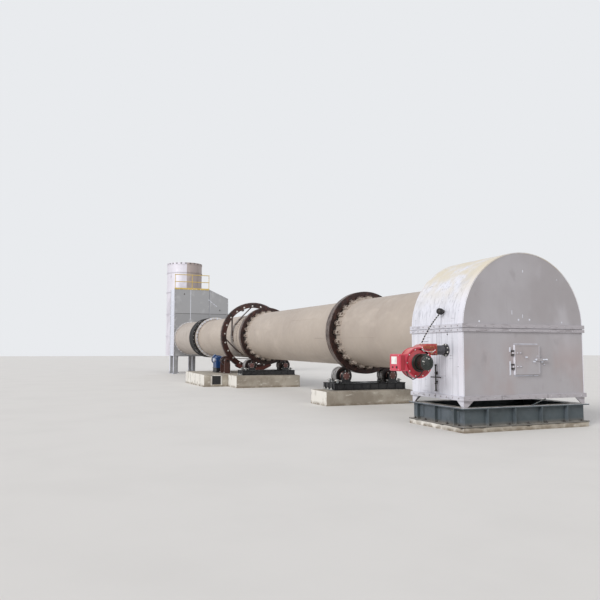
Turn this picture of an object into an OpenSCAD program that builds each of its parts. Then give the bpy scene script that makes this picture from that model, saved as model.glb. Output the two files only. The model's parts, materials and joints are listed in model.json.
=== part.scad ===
// Rotary kiln with a fired discharge hood, a girth gear drive and a feed chamber.
// Origin on the ground under the discharge tyre, +X to the discharge hood, +Z up.
// The kiln's own parts are drawn along X on their axis and then tilted to its slope.

/* [Kiln shell] */
// Outer diameter of the steel shell
shell_d = 2000; // [1900:10:2100]
// Thickness of the shell plate
shell_plate = 20; // [12:1:30]
// Thickness of the brick lining
lining_t = 180; // [100:5:220]
// Height of the kiln axis over the ground at the discharge tyre
axis_h = 2100; // [2050:5:2200]
// Slope of the kiln, lower at the discharge end, in degrees
slope_deg = 0.6; // [0:0.05:1]
// How far the kiln mouth reaches into the discharge hood
nose_in = 480; // [300:10:700]
// How far the kiln inlet stops short of the feed chamber wall
inlet_gap = 300; // [200:10:500]
// Radial running gap between the kiln and the fixed seals
seal_gap = 10; // [6:1:20]

/* [Tyres] */
// Distance between the two tyres
tyre_span = 9200; // [8800:20:9600]
// Outer diameter of a tyre
tyre_d = 2474; // [2400:2:2560]
// Width of a tyre
tyre_w = 270; // [240:5:340]
// Number of pads under a tyre
pad_n = 24; // [16:1:30]
// Thickness of a pad
pad_t = 60; // [40:1:80]
// Width of a pad around the shell
pad_w = 130; // [80:5:150]
// Length of a pad along the shell
pad_l = 800; // [720:10:880]

/* [Rollers] */
// Diameter of a supporting roller
roller_d = 520; // [460:2:560]
// Width of a supporting roller
roller_w = 340; // [300:5:380]
// Angle of the rollers from the vertical, in degrees
roller_angle = 31; // [28:0.5:34]
// Diameter of a roller shaft
shaft_d = 120; // [90:2:150]
// Gap between a tyre and its roller
rolling_gap = 0.3; // [0.2:0.1:1]
// Length of a roller bearing along its shaft
bearing_l = 130; // [100:5:160]
// Width of a roller bearing across its shaft
bearing_w = 300; // [260:5:340]
// Radial thickness of a bearing cap over the shaft
bearing_cap_t = 60; // [40:2:80]
// Free length of shaft between a roller and its bearing
bearing_gap = 40; // [20:2:60]

/* [Supports] */
// Height of the roller frames
frame_h = 200; // [160:5:230]
// Length of a roller frame along the kiln
frame_l = 780; // [760:10:800]
// Width of a roller frame across the kiln
frame_w = 2360; // [2280:10:2440]
// Width of the beams in a roller frame
frame_beam = 200; // [180:5:260]
// Height of the discharge pier at the origin
pier_h = 410; // [360:5:450]
// Reach of the piers to the left of the kiln axis
pier_left = 1600; // [1540:10:1700]
// Reach of the piers to the right of the kiln axis
pier_right = 1250; // [1230:10:1400]
// How far the discharge pier reaches past its tyre towards the discharge end
pier_front = 735; // [660:5:800]
// How far the discharge pier reaches past its tyre towards the feed end
pier_back = 410; // [405:5:480]
// How far the feed pier reaches past its tyre towards the discharge end
feed_pier_front = 850; // [780:10:920]
// How far the feed pier reaches past its tyre towards the feed end
feed_pier_back = 450; // [410:10:520]

/* [Girth gear] */
// Module of the girth gear and the pinion
gear_module = 19.6; // [19.2:0.1:20]
// Teeth on the girth gear
gear_teeth = 158; // [156:1:160]
// Distance from the feed tyre to the girth gear
gear_offset = 1920; // [1800:10:2100]
// Face width of the girth gear
gear_w = 240; // [200:5:280]
// Depth of the gear rim below its tooth roots
rim_t = 190; // [150:5:230]
// Number of spring plates that carry the gear
spring_n = 8; // [6:1:10]
// Thickness of a spring plate
spring_t = 24; // [16:1:30]
// Width of a spring plate along the kiln
spring_w = 180; // [140:5:200]
// Length of the foot of a spring plate
spring_foot = 240; // [180:5:300]
// Distance from the gear to the riveted band on the shell
band_offset = 620; // [500:10:700]
// Width of the riveted band
band_w = 110; // [80:5:140]
// Thickness of the riveted band
band_t = 22; // [12:1:30]

/* [Drive] */
// Teeth on the pinion
pinion_teeth = 20; // [18:1:22]
// Angle of the pinion from the vertical, in degrees
pinion_angle = 50; // [46:0.5:54]
// Face width of the pinion
pinion_w = 260; // [220:5:300]
// Diameter of the pinion shaft
pinion_shaft_d = 110; // [90:2:130]
// Length of a pinion bearing along its shaft
pinion_bearing_l = 120; // [90:5:140]
// Width of a pinion bearing across its shaft
pinion_bearing_w = 260; // [220:5:300]
// Thinning of each tooth flank for running play
tooth_play = 1.2; // [0.8:0.1:2]
// Length of the reducer along the kiln
reducer_l = 640; // [560:10:720]
// Width of the reducer across the kiln
reducer_w = 520; // [460:10:580]
// Height of the reducer over the pinion axis
reducer_rise = 140; // [110:5:170]
// Diameter of the drive motor
motor_d = 400; // [340:5:440]
// Length of the drive motor
motor_l = 620; // [500:10:700]
// Width of the drive pier on the pinion side of the kiln axis
drive_pier_out = 2660; // [2560:10:2760]
// Width of the drive pier on the other side of the kiln axis
drive_pier_in = 900; // [800:10:1000]
// Length of the drive pier
drive_pier_l = 3900; // [3800:10:4100]
// Joint between the feed pier and the drive pier
pier_joint = 20; // [10:1:40]
// Radial gap between the gear tips and the lower guard
guard_gap = 24; // [15:1:35]
// Plate thickness of the lower guard
guard_plate = 8; // [6:1:12]
// Height of the lower guard's side plates
guard_side = 150; // [120:5:200]
// Angle of the lower guard each side of the vertical, in degrees
guard_angle = 32; // [26:1:34]

/* [Discharge hood] */
// Distance from the discharge tyre to the hood
hood_x = 5100; // [4900:5:5300]
// Length of the hood along the kiln
hood_l = 1820; // [1700:10:1950]
// Width of the hood
hood_w = 3014; // [2940:2:3090]
// Height of the hood's straight sides
hood_straight = 1436; // [1390:2:1480]
// Thickness of the hood's lined walls
hood_wall = 150; // [110:5:180]
// Height of the upper strip of the bolted seam
seam_h = 80; // [64:2:96]
// Height of the lower strip of the bolted seam
seam_low_h = 62; // [48:2:76]
// Groove between the two strips of the seam
seam_gap = 12; // [8:1:16]
// Drop of that groove below the start of the arch
seam_drop = 44; // [30:1:60]
// How far the hood's flanges stand out
flange_out = 30; // [24:1:40]
// Height of the hood's bottom flange
foot_flange_h = 86; // [60:2:110]
// How far the base frame stands out from the hood
base_out = 60; // [50:1:76]
// Height of the legs under the hood
leg_h = 137; // [110:1:160]
// Width of a leg plate at its top
leg_w = 230; // [190:5:280]
// Width of a leg plate at its foot
leg_foot = 70; // [60:2:90]
// Thickness of a leg plate
leg_t = 30; // [20:1:40]
// Height of the hood's base frame
base_h = 368; // [330:2:400]
// Flange thickness of the base frame
base_flange_t = 22; // [14:1:30]
// Web thickness of the base frame
base_web_t = 24; // [14:1:30]
// Flange width of the base frame
base_flange_w = 240; // [180:5:280]
// Stiffeners along the front of the base frame
front_stiffeners = 4; // [3:1:5]
// Stiffeners along each side of the base frame
side_stiffeners = 3; // [2:1:4]
// Height of the concrete plinth under the base frame
plinth_h = 95; // [70:1:130]
// Depth of the seal ring behind the hood
hood_seal_l = 140; // [100:5:200]
// Radial width of the seal ring behind the hood
hood_seal_w = 170; // [120:5:220]

/* [Hood door] */
// Width of the door
door_w = 618; // [560:2:660]
// Height of the door
door_h = 588; // [540:2:640]
// Height of the door's centre over the hood's bottom
door_rise = 778; // [740:2:820]
// Thickness of the door
door_t = 48; // [36:1:60]
// How far the door laps over its opening
door_lap = 50; // [35:1:70]
// Diameter of the hinge pins
hinge_pin_d = 20; // [14:1:26]
// Height of each hinge
hinge_h = 110; // [80:2:140]
// Length of the latch lever
latch_l = 170; // [140:5:210]

/* [Burner] */
// Distance from the hood's front face to the burner axis
burner_back = 555; // [500:5:600]
// Height of the burner axis over the hood's bottom
burner_rise = 970; // [920:5:1000]
// Diameter of the blast tube
tube_d = 190; // [170:2:210]
// Diameter of the burner flange
burner_flange_d = 250; // [230:2:280]
// Length of blast tube outside the hood
tube_out = 340; // [300:5:400]
// Length of the burner housing along the blast tube
housing_l = 480; // [440:5:520]
// Height of the burner housing over the blast tube axis
housing_up = 110; // [100:2:130]
// Depth of the burner housing along the kiln
housing_w = 360; // [330:5:390]
// Diameter of the fan casing
fan_d = 580; // [550:5:610]
// Width of the fan casing
fan_w = 220; // [190:5:250]
// Distance from the hood to the fan axis
fan_out = 750; // [735:5:780]
// Drop of the fan axis below the blast tube axis
fan_drop = 245; // [230:5:260]
// Diameter of the fan motor
fan_motor_d = 260; // [230:5:290]
// Length of the fan motor
fan_motor_l = 300; // [260:5:340]
// Distance from the hood to the rear face of the burner's control box
control_out = 1173; // [1150:1:1210]
// Height of the control box
control_h = 320; // [300:5:340]
// Drop of the control box's top below the blast tube axis
control_drop = 80; // [70:1:90]

/* [Hood fittings] */
// Diameter of the thermocouple head
thermo_d = 130; // [115:1:140]
// Distance from the hood's front face to the thermocouple
thermo_back = 655; // [620:5:690]
// Height of the thermocouple over the seam
thermo_rise = 309; // [285:1:335]
// Diameter of the conduit
conduit_d = 26; // [20:1:32]
// How far the conduit bulges out between the thermocouple and the burner
conduit_bulge = 40; // [30:2:60]
// Length of the drop bolt
bolt_l = 548; // [510:2:580]
// Diameter of the drop bolt
bolt_d = 30; // [24:1:36]
// Distance from the hood's front face to the drop bolt
bolt_back = 885; // [840:5:930]
// Height of the drop bolt's foot over the hood's bottom
bolt_rise = 133; // [110:1:160]

/* [Feed chamber] */
// Distance from the discharge tyre to the feed chamber
chamber_x = 25065; // [24800:5:25300]
// Length of the feed chamber along the kiln
chamber_l = 1500; // [1350:10:1700]
// Width of the feed chamber
chamber_w = 3680; // [3500:10:3800]
// Height of the chamber's underside over the ground
chamber_z = 1195; // [1150:5:1300]
// Height of the feed chamber
chamber_h = 4510; // [4300:10:4700]
// Thickness of the chamber's lined walls
chamber_wall = 150; // [110:5:180]
// Width of the sloping shoulder on the chamber's roof
shoulder_w = 1330; // [1200:10:1450]
// Drop of the sloping shoulder
shoulder_drop = 590; // [520:10:700]
// Side of a chamber leg
leg_side = 210; // [190:5:240]
// Length of the inlet collar
collar_l = 5000; // [4900:10:5100]
// Running gap between the kiln shell and the collar
collar_gap = 30; // [20:1:50]
// Plate thickness of the collar
collar_plate = 16; // [12:1:20]
// How far the collar's bolted flange stands out
collar_flange_out = 64; // [50:1:80]
// Thickness of the collar's bolted flange
collar_flange_t = 40; // [30:1:60]
// Distance from the collar's flange to the chamber's side
collar_edge = 10; // [5:1:60]
// Length of the black seal at the kiln inlet
feed_seal_l = 900; // [800:10:960]
// Outer diameter of the black seal
feed_seal_d = 2300; // [2280:5:2380]
// Diameter of the flange on the kiln's feed end
feed_flange_d = 2300; // [2260:5:2340]
// Thickness of the flange on the kiln's feed end
feed_flange_t = 60; // [40:2:80]
// Gap between that flange and the seal
feed_flange_gap = 800; // [700:10:900]

/* [Stack] */
// Diameter of the stack behind the chamber
stack_d = 2460; // [2400:10:2520]
// Height of the stack over the roof
stack_h = 2045; // [1900:5:2200]
// Wall of the stack
stack_wall = 60; // [40:2:80]
// Length of the duct between the chamber and the stack
neck_l = 250; // [200:10:350]
// Width of that duct
neck_w = 1200; // [1000:10:1400]
// Height of that duct
neck_h = 1800; // [1500:10:2000]
// Height of that duct over the chamber's underside
neck_rise = 1600; // [1400:10:1800]
// Distance of the stack's centre from the kiln's axis, to the right
stack_side = 110; // [80:5:140]
// Height of the rail on the chamber roof
rail_h = 950; // [900:10:1000]
// Diameter of the rail's tubes
rail_d = 48; // [38:1:60]
// Height of the rail's toe board
toe_h = 110; // [80:5:150]
// Thickness of the rail's toe board
toe_t = 10; // [6:1:16]

/* [Hidden] */

$fn = 72;

// Seat gap between curved faces that fit into each other
fit_gap = 0.3;
// Overrun of a cutting shape past the face that it cuts
cut = 10;

shell_r = shell_d / 2;
lining_r = shell_r - shell_plate - fit_gap;
bore_r = lining_r - lining_t;
tyre_r = tyre_d / 2;
tyre_bore_r = shell_r + pad_t + fit_gap;
roller_r = roller_d / 2;
kiln_front = hood_x + hood_wall + nose_in;
kiln_back = -(chamber_x - inlet_gap);
kiln_l = kiln_front - kiln_back;

// Kiln frame: heights below the axis, square to it
function below_axis(h) = (axis_h - h) * cos(slope_deg);
function axis_z(x) = axis_h - x * tan(slope_deg);

module kiln_frame() {
    translate([0, 0, axis_h]) rotate([0, slope_deg, 0]) children();
}

// A cylinder along X from x0 to x1
module rod_x(x0, x1, r) {
    translate([x0, 0, 0]) rotate([0, 90, 0]) cylinder(h = x1 - x0, r = r);
}

module ring_x(x0, x1, outer_r, inner_r) {
    difference() {
        rod_x(x0, x1, outer_r);
        rod_x(x0 - cut, x1 + cut, inner_r);
    }
}

// A box given by its lowest and highest corners
module block(low, high) {
    translate(low) cube(high - low);
}

// Kiln shell and its lining

section_n = 3;
section_l = kiln_l / section_n;

// One length of the kiln, counted from the discharge end
module kiln_section(place, outer_r, inner_r) {
    kiln_frame()
        ring_x(kiln_front - (place + 1) * section_l, kiln_front - place * section_l, outer_r, inner_r);
}

module shell_section(place) {
    color([0.71, 0.66, 0.61]) kiln_section(place, shell_r, shell_r - shell_plate);
}

module lining_section(place) {
    color([0.55, 0.4, 0.32]) kiln_section(place, lining_r, bore_r);
}

module shell_discharge() {
    shell_section(0);
}

module shell_middle() {
    shell_section(1);
}

module shell_feed() {
    shell_section(2);
}

module lining_discharge() {
    lining_section(0);
}

module lining_middle() {
    lining_section(1);
}

module lining_feed() {
    lining_section(2);
}

feed_flange_x = -(chamber_x - collar_l - feed_seal_l - feed_flange_gap);

module feed_end_flange() {
    color([0.75, 0.72, 0.68]) kiln_frame()
        ring_x(feed_flange_x, feed_flange_x + feed_flange_t, feed_flange_d / 2, shell_r + fit_gap);
}

// Tyres and pads

tyre_edge_share = 0.06;

module tyre_profile() {
    edge = tyre_w * tyre_edge_share;
    half = tyre_w / 2;
    polygon([[tyre_bore_r, -half], [tyre_r - edge, -half], [tyre_r, edge - half],
        [tyre_r, half - edge], [tyre_r - edge, half], [tyre_bore_r, half]]);
}

module tyre(x) {
    color([0.16, 0.1, 0.09]) kiln_frame() translate([x, 0, 0]) rotate([0, 90, 0])
        rotate_extrude() tyre_profile();
}

module pad_ring(x) {
    translate([x, 0, 0]) intersection() {
        ring_x(-pad_l / 2, pad_l / 2, shell_r + pad_t, shell_r + fit_gap);
        for (i = [0 : pad_n - 1]) rotate([i * 360 / pad_n, 0, 0])
            block([-pad_l, -pad_w / 2, shell_r - pad_t], [pad_l, pad_w / 2, tyre_r]);
    }
}

module tyre_pads() {
    color([0.2, 0.17, 0.16]) kiln_frame() {
        pad_ring(0);
        pad_ring(-tyre_span);
    }
}

// Supporting rollers, their bearings, frames and piers

roller_reach = tyre_r + roller_r + rolling_gap;
roller_y = roller_reach * sin(roller_angle);
roller_drop = roller_reach * cos(roller_angle);
bearing_x = roller_w / 2 + bearing_gap;
shaft_end = bearing_x + bearing_l - cut;
shaft_r = shaft_d / 2;
roller_web_share = 0.12;
roller_rim_share = 0.78;
roller_hub_share = 0.42;

module roller(x, side) {
    web = roller_w * roller_web_share;
    color([0.12, 0.11, 0.11]) kiln_frame() translate([x, side * roller_y, -roller_drop]) {
        difference() {
            rod_x(-roller_w / 2, roller_w / 2, roller_r);
            for (end = [-1, 1]) translate([end * roller_w / 2, 0, 0])
                ring_x(-web, web, roller_r * roller_rim_share, roller_r * roller_hub_share);
        }
        rod_x(-shaft_end, shaft_end, shaft_r);
    }
}

frame_top = below_axis(pier_h) - frame_h - 2 * fit_gap;
bearing_foot_share = 0.28;

module roller_bearing() {
    foot_h = (frame_top - roller_drop) * bearing_foot_share;
    cap_r = shaft_r + bearing_cap_t;
    difference() {
        union() {
            block([0, -bearing_w / 2, roller_drop - frame_top],
                [bearing_l, bearing_w / 2, roller_drop - frame_top + foot_h]);
            block([0, -cap_r, roller_drop - frame_top], [bearing_l, cap_r, 0]);
            rod_x(0, bearing_l, cap_r);
        }
        rod_x(-cut, bearing_l + cut, shaft_r + fit_gap);
    }
}

module bearing_set(x) {
    color([0.55, 0.56, 0.56]) kiln_frame() for (side = [-1, 1]) for (end = [0, 1])
        translate([x, side * roller_y, -roller_drop]) mirror([end, 0, 0]) translate([bearing_x, 0, 0])
            roller_bearing();
}

module roller_frame(x) {
    low = fit_gap - below_axis(pier_h);
    inner_l = frame_l / 2 - frame_beam;
    inner_w = frame_w / 2 - frame_beam;
    mid = frame_beam / 2;
    color([0.13, 0.13, 0.14]) kiln_frame() translate([x, 0, low]) difference() {
        block([-frame_l / 2, -frame_w / 2, 0], [frame_l / 2, frame_w / 2, frame_h]);
        for (side = [0, 1]) mirror([0, side, 0])
            block([-inner_l, mid, -cut], [inner_l, inner_w, frame_h + cut]);
    }
}

// A concrete pier whose top follows the kiln's slope
module sloped_pier(x0, x1, y0, y1) {
    translate([0, y1, 0]) rotate([90, 0, 0]) linear_extrude(y1 - y0)
        polygon([[x0, 0], [x1, 0], [x1, pier_h - x1 * tan(slope_deg)], [x0, pier_h - x0 * tan(slope_deg)]]);
}

feed_pier_x1 = -tyre_span + feed_pier_front;
feed_pier_x0 = -tyre_span - feed_pier_back;

module pier_discharge() {
    color([0.6, 0.58, 0.53]) sloped_pier(-pier_back, pier_front, -pier_left, pier_right);
}

module pier_feed() {
    color([0.6, 0.58, 0.53]) sloped_pier(feed_pier_x0, feed_pier_x1, -pier_left, pier_right);
}

// Girth gear

gear_x = -(tyre_span + gear_offset);
gear_pitch_r = gear_module * gear_teeth / 2;
pinion_pitch_r = gear_module * pinion_teeth / 2;
centre_distance = gear_pitch_r + pinion_pitch_r + tooth_play;
pressure_deg = 20;
root_share = 1.25;
gear_root_r = gear_pitch_r - gear_module * root_share;
rim_inner_r = gear_root_r - rim_t;

function involute_deg(a) = tan(a) * 180 / PI - a;

// Half the angle that a tooth takes up at the radius r
function tooth_half_deg(r, teeth, pitch_r) =
    let (base_r = pitch_r * cos(pressure_deg))
    let (at_r = max(r, base_r))
    90 / teeth - tooth_play / pitch_r * 180 / PI
        + involute_deg(pressure_deg) - involute_deg(acos(min(1, base_r / at_r)));

// One tooth as points from its right root to its left root
function tooth_points(mid_deg, teeth, pitch_r) =
    let (root_r = pitch_r - gear_module * root_share)
    let (base_r = pitch_r * cos(pressure_deg))
    let (tip_r = pitch_r + gear_module)
    let (radii = base_r > root_r ? [root_r, base_r, pitch_r, tip_r] : [root_r, pitch_r, tip_r])
    let (right = [for (r = radii) [r, mid_deg - tooth_half_deg(r, teeth, pitch_r)]])
    let (back = [for (i = [len(radii) - 1 : -1 : 0]) radii[i]])
    let (left = [for (r = back) [r, mid_deg + tooth_half_deg(r, teeth, pitch_r)]])
    [for (p = concat(right, left)) [p[0] * cos(p[1]), p[0] * sin(p[1])]];

function gear_points(teeth, pitch_r, first_deg) =
    [for (i = [0 : teeth - 1]) each tooth_points(first_deg + i * 360 / teeth, teeth, pitch_r)];

// Turns an outline so that it lies across the kiln: its first axis runs along +Y, its second along +Z
module across(x0, width) {
    translate([x0, 0, 0]) rotate([90, 0, 90]) linear_extrude(width) children();
}

pinion_dir = -90 - pinion_angle;

module girth_gear() {
    color([0.3, 0.16, 0.12]) kiln_frame() difference() {
        across(gear_x - gear_w / 2, gear_w) polygon(gear_points(gear_teeth, gear_pitch_r, pinion_dir));
        rod_x(gear_x - gear_w, gear_x + gear_w, rim_inner_r);
    }
}

spring_r = shell_r + fit_gap + spring_t;

module spring_plate() {
    reach = sqrt(rim_inner_r * rim_inner_r - spring_r * spring_r);
    difference() {
        intersection() {
            union() {
                block([-spring_w / 2, 0, spring_r], [spring_w / 2, reach + spring_w, spring_r + spring_t]);
                block([-spring_w / 2, -spring_foot, shell_r - spring_foot],
                    [spring_w / 2, spring_foot / 2, spring_r]);
            }
            rod_x(-spring_w, spring_w, rim_inner_r - fit_gap);
        }
        rod_x(-spring_w, spring_w, shell_r + fit_gap);
    }
}

module gear_springs() {
    color([0.25, 0.19, 0.17]) kiln_frame()
        for (i = [0 : spring_n - 1]) translate([gear_x, 0, 0]) rotate([i * 360 / spring_n, 0, 0])
            spring_plate();
}

module shell_band() {
    band_x = gear_x + band_offset;
    color([0.4, 0.35, 0.32]) kiln_frame()
        ring_x(band_x - band_w / 2, band_x + band_w / 2, shell_r + band_t, shell_r + fit_gap);
}

// Pinion and drive

pinion_y = -centre_distance * sin(pinion_angle);
pinion_drop = centre_distance * cos(pinion_angle);
pinion_r = pinion_shaft_d / 2;
pinion_bearing_x = pinion_w / 2 + guard_side;
reducer_x1 = -(pinion_bearing_x + pinion_bearing_l + guard_side);
reducer_x0 = reducer_x1 - reducer_l;
pier_drop = below_axis(pier_h) - pinion_drop - fit_gap;
pinion_in_reducer = reducer_l / 4;

module pinion_frame() {
    kiln_frame() translate([gear_x, pinion_y, -pinion_drop]) children();
}

module pinion() {
    color([0.28, 0.26, 0.25]) pinion_frame() {
        across(-pinion_w / 2, pinion_w)
            polygon(gear_points(pinion_teeth, pinion_pitch_r, 90 - pinion_angle + 180 / pinion_teeth));
        rod_x(reducer_x1 - pinion_in_reducer, pinion_bearing_x + pinion_bearing_l + cut, pinion_r);
    }
}

module pinion_bearing() {
    cap_r = pinion_r + bearing_cap_t;
    difference() {
        union() {
            block([0, -pinion_bearing_w / 2, -pier_drop], [pinion_bearing_l, pinion_bearing_w / 2, -cap_r]);
            block([0, -cap_r, -cap_r], [pinion_bearing_l, cap_r, 0]);
            rod_x(0, pinion_bearing_l, cap_r);
        }
        rod_x(-cut, pinion_bearing_l + cut, pinion_r + fit_gap);
    }
}

module pinion_bearings() {
    color([0.6, 0.6, 0.58]) pinion_frame() for (end = [0, 1]) mirror([end, 0, 0])
        translate([pinion_bearing_x, 0, 0]) pinion_bearing();
}

reducer_cap_share = 0.3;

module reducer() {
    cap_r = reducer_w * reducer_cap_share / 2;
    color([0.12, 0.27, 0.45]) pinion_frame() difference() {
        union() {
            block([reducer_x0, -reducer_w / 2, -pier_drop], [reducer_x1, reducer_w / 2, reducer_rise]);
            translate([(reducer_x0 + reducer_x1) / 2, 0, 0]) rotate([90, 0, 0])
                cylinder(h = reducer_w + 2 * cap_r, r = cap_r, center = true);
        }
        rod_x(reducer_x1 - pinion_in_reducer - cut, reducer_x1 + cut, pinion_r + fit_gap);
    }
}

motor_foot_share = 0.6;

module drive_motor() {
    motor_r = motor_d / 2;
    foot = motor_d * motor_foot_share;
    color([0.12, 0.27, 0.45]) pinion_frame() {
        rod_x(reducer_x0 - motor_l, reducer_x0, motor_r);
        block([reducer_x0 - motor_l * motor_foot_share, -foot / 2, -pier_drop], [reducer_x0, foot / 2, 0]);
    }
}

drive_pier_x1 = feed_pier_x0 - pier_joint;

module drive_pier() {
    color([0.66, 0.64, 0.6])
        sloped_pier(drive_pier_x1 - drive_pier_l, drive_pier_x1, -drive_pier_out, drive_pier_in);
}

guard_r = gear_pitch_r + gear_module + guard_gap;

module guard_sector(reach) {
    polygon([[0, 0], [-reach * tan(guard_angle), -reach], [reach * tan(guard_angle), -reach]]);
}

module gear_guard() {
    half = gear_w / 2 + guard_gap;
    outer_r = guard_r + guard_plate;
    floor_drop = below_axis(pier_h) - fit_gap;
    $fn = 360;
    color([0.45, 0.17, 0.13]) kiln_frame() translate([gear_x, 0, 0]) {
        intersection() {
            union() {
                ring_x(-half, half, outer_r, guard_r);
                for (end = [0, 1]) mirror([end, 0, 0])
                    ring_x(half, half + guard_plate, outer_r, outer_r - guard_side);
            }
            across(-gear_w, 2 * gear_w) guard_sector(2 * outer_r);
        }
        for (side = [-1, 1]) difference() {
            translate([0, side * outer_r * sin(guard_angle) / 2, 0])
                block([-half, -guard_side / 2, -floor_drop], [half, guard_side / 2, -outer_r / 2]);
            rod_x(-gear_w, gear_w, outer_r);
        }
    }
}

// Discharge hood

hood_x1 = hood_x + hood_l;
hood_r = hood_w / 2;
base_z = plinth_h + base_h;
hood_z = base_z + leg_h;
spring_z = hood_z + hood_straight;
seam_z = spring_z - seam_drop;

// The hood's outline across the kiln, drawn in by an inset, down to the ground
module hood_outline(inset) {
    translate([0, spring_z]) circle(r = hood_r - inset, $fn = 144);
    translate([inset - hood_r, 0]) square([2 * (hood_r - inset), spring_z]);
}

// That outline from x on, with its flat underside
module hood_body(x, l, inset) {
    intersection() {
        across(x, l) hood_outline(inset);
        block([x - cut, -hood_w, hood_z + inset], [x + l + cut, hood_w, spring_z + hood_w]);
    }
}

module hood_tube() {
    difference() {
        hood_body(hood_x + hood_wall, hood_l - 2 * hood_wall, 0);
        hood_body(hood_x, hood_l, hood_wall);
    }
}

module hood_arch() {
    color([0.68, 0.68, 0.66]) intersection() {
        hood_tube();
        block([hood_x, -hood_w, spring_z], [hood_x1, hood_w, spring_z + hood_w]);
    }
}

burner_x = hood_x1 - burner_back;
burner_z = hood_z + burner_rise;
tube_r = tube_d / 2;

module hood_sides() {
    color([0.68, 0.68, 0.66]) difference() {
        intersection() {
            hood_tube();
            block([hood_x, -hood_w, 0], [hood_x1, hood_w, spring_z]);
        }
        translate([burner_x, 0, burner_z]) rotate([90, 0, 0]) cylinder(h = hood_w, r = tube_r + fit_gap);
    }
}

door_z = hood_z + door_rise;
opening_w = door_w - 2 * door_lap;
opening_h = door_h - 2 * door_lap;

module hood_front_wall() {
    color([0.6, 0.59, 0.58]) difference() {
        hood_body(hood_x1 - hood_wall, hood_wall, 0);
        block([hood_x1 - hood_wall - cut, -opening_w / 2, door_z - opening_h / 2],
            [hood_x1 + cut, opening_w / 2, door_z + opening_h / 2]);
    }
}

module hood_back_wall() {
    color([0.62, 0.61, 0.6]) difference() {
        hood_body(hood_x, hood_wall, 0);
        kiln_frame() rod_x(hood_x - hood_l, hood_x1, shell_r + seal_gap);
    }
}

module hood_seal() {
    color([0.3, 0.28, 0.27]) difference() {
        translate([0, 0, axis_z(hood_x)])
            rod_x(hood_x - hood_seal_l, hood_x, shell_r + seal_gap + hood_seal_w);
        kiln_frame() rod_x(hood_x - hood_l, hood_x1, shell_r + seal_gap);
    }
}

// A flange that runs round the hood between two heights
module hood_band(z0, z1, stand_out) {
    difference() {
        block([hood_x - stand_out, -hood_r - stand_out, z0], [hood_x1 + stand_out, hood_r + stand_out, z1]);
        block([hood_x, -hood_r, z0 - cut], [hood_x1, hood_r, z1 + cut]);
    }
}

module hood_seam_band() {
    seal_r = shell_r + seal_gap + hood_seal_w;
    color([0.66, 0.65, 0.63]) difference() {
        union() {
            hood_band(seam_z - seam_low_h, seam_z, flange_out);
            hood_band(seam_z + seam_gap, seam_z + seam_gap + seam_h, flange_out);
        }
        translate([0, 0, axis_z(hood_x)]) rod_x(hood_x - hood_seal_l, hood_x, seal_r + cut);
    }
}

module hood_foot_flange() {
    color([0.62, 0.61, 0.59]) hood_band(hood_z, hood_z + foot_flange_h, flange_out);
}

module leg_corner() {
    rotate([90, 0, 0]) linear_extrude(leg_t)
        polygon([[0, 0], [leg_foot, 0], [leg_w, leg_h], [0, leg_h]]);
    rotate([90, 0, 90]) linear_extrude(leg_t)
        polygon([[-leg_foot, 0], [0, 0], [0, leg_h], [-leg_w, leg_h]]);
}

module hood_legs() {
    color([0.5, 0.5, 0.5]) translate([(hood_x + hood_x1) / 2, 0, base_z])
        for (along = [0, 1]) for (across_side = [0, 1]) mirror([along, 0, 0]) mirror([0, across_side, 0])
            translate([-hood_l / 2, hood_r, 0]) leg_corner();
}

// Base frame: channels with their flanges outwards, round the outline of the hood

base_x0 = hood_x - base_out;
base_x1 = hood_x1 + base_out;
base_r = hood_r + base_out;
base_web_in = base_flange_w / 3;

module base_ring(z0, z1, outer_in, inner_in) {
    difference() {
        block([base_x0 + outer_in, outer_in - base_r, z0], [base_x1 - outer_in, base_r - outer_in, z1]);
        block([base_x0 + inner_in, inner_in - base_r, z0 - cut],
            [base_x1 - inner_in, base_r - inner_in, z1 + cut]);
    }
}

front_pitch = 2 * (base_r - base_web_in) / (front_stiffeners + 1 / 2);
side_pitch = (base_x1 - base_x0) / side_stiffeners;

module hood_base_frame() {
    color([0.36, 0.4, 0.44]) {
        base_ring(plinth_h, plinth_h + base_flange_t, 0, base_flange_w);
        base_ring(base_z - base_flange_t, base_z, 0, base_flange_w);
        base_ring(plinth_h + base_flange_t, base_z - base_flange_t, base_web_in, base_web_in + base_web_t);
        for (i = [0 : front_stiffeners - 1]) for (end = [0, 1])
            translate([(base_x0 + base_x1) / 2, (i - (front_stiffeners - 1) / 2) * front_pitch, 0])
                mirror([end, 0, 0])
                block([(base_x1 - base_x0) / 2 - base_web_in, -base_web_t / 2, plinth_h + base_flange_t],
                    [(base_x1 - base_x0) / 2, base_web_t / 2, base_z - base_flange_t]);
        for (i = [0 : side_stiffeners - 1]) for (end = [0, 1])
            translate([base_x0 + (i + 1 / 2) * side_pitch, 0, 0]) mirror([0, end, 0])
                block([-base_web_t / 2, base_r - base_web_in, plinth_h + base_flange_t],
                    [base_web_t / 2, base_r, base_z - base_flange_t]);
    }
}

module hood_plinth() {
    color([0.58, 0.56, 0.52]) block([base_x0, -base_r, 0], [base_x1, base_r, plinth_h]);
}

// Hood door on two pin hinges at its left edge

hinge_x = hood_x1 + door_t / 2 + fit_gap;
hinge_y = -door_w / 2 - hinge_pin_d;
hinge_r = hinge_pin_d;
hinge_play = 1;
hinge_share = 0.23;
latch_t = door_t / 2;

module knuckle(z0, z1, bore_radius) {
    translate([hinge_x, hinge_y, 0]) difference() {
        translate([0, 0, z0]) cylinder(h = z1 - z0, r = hinge_r);
        translate([0, 0, z0 - cut]) cylinder(h = z1 - z0 + 2 * cut, r = bore_radius);
    }
}

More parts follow.
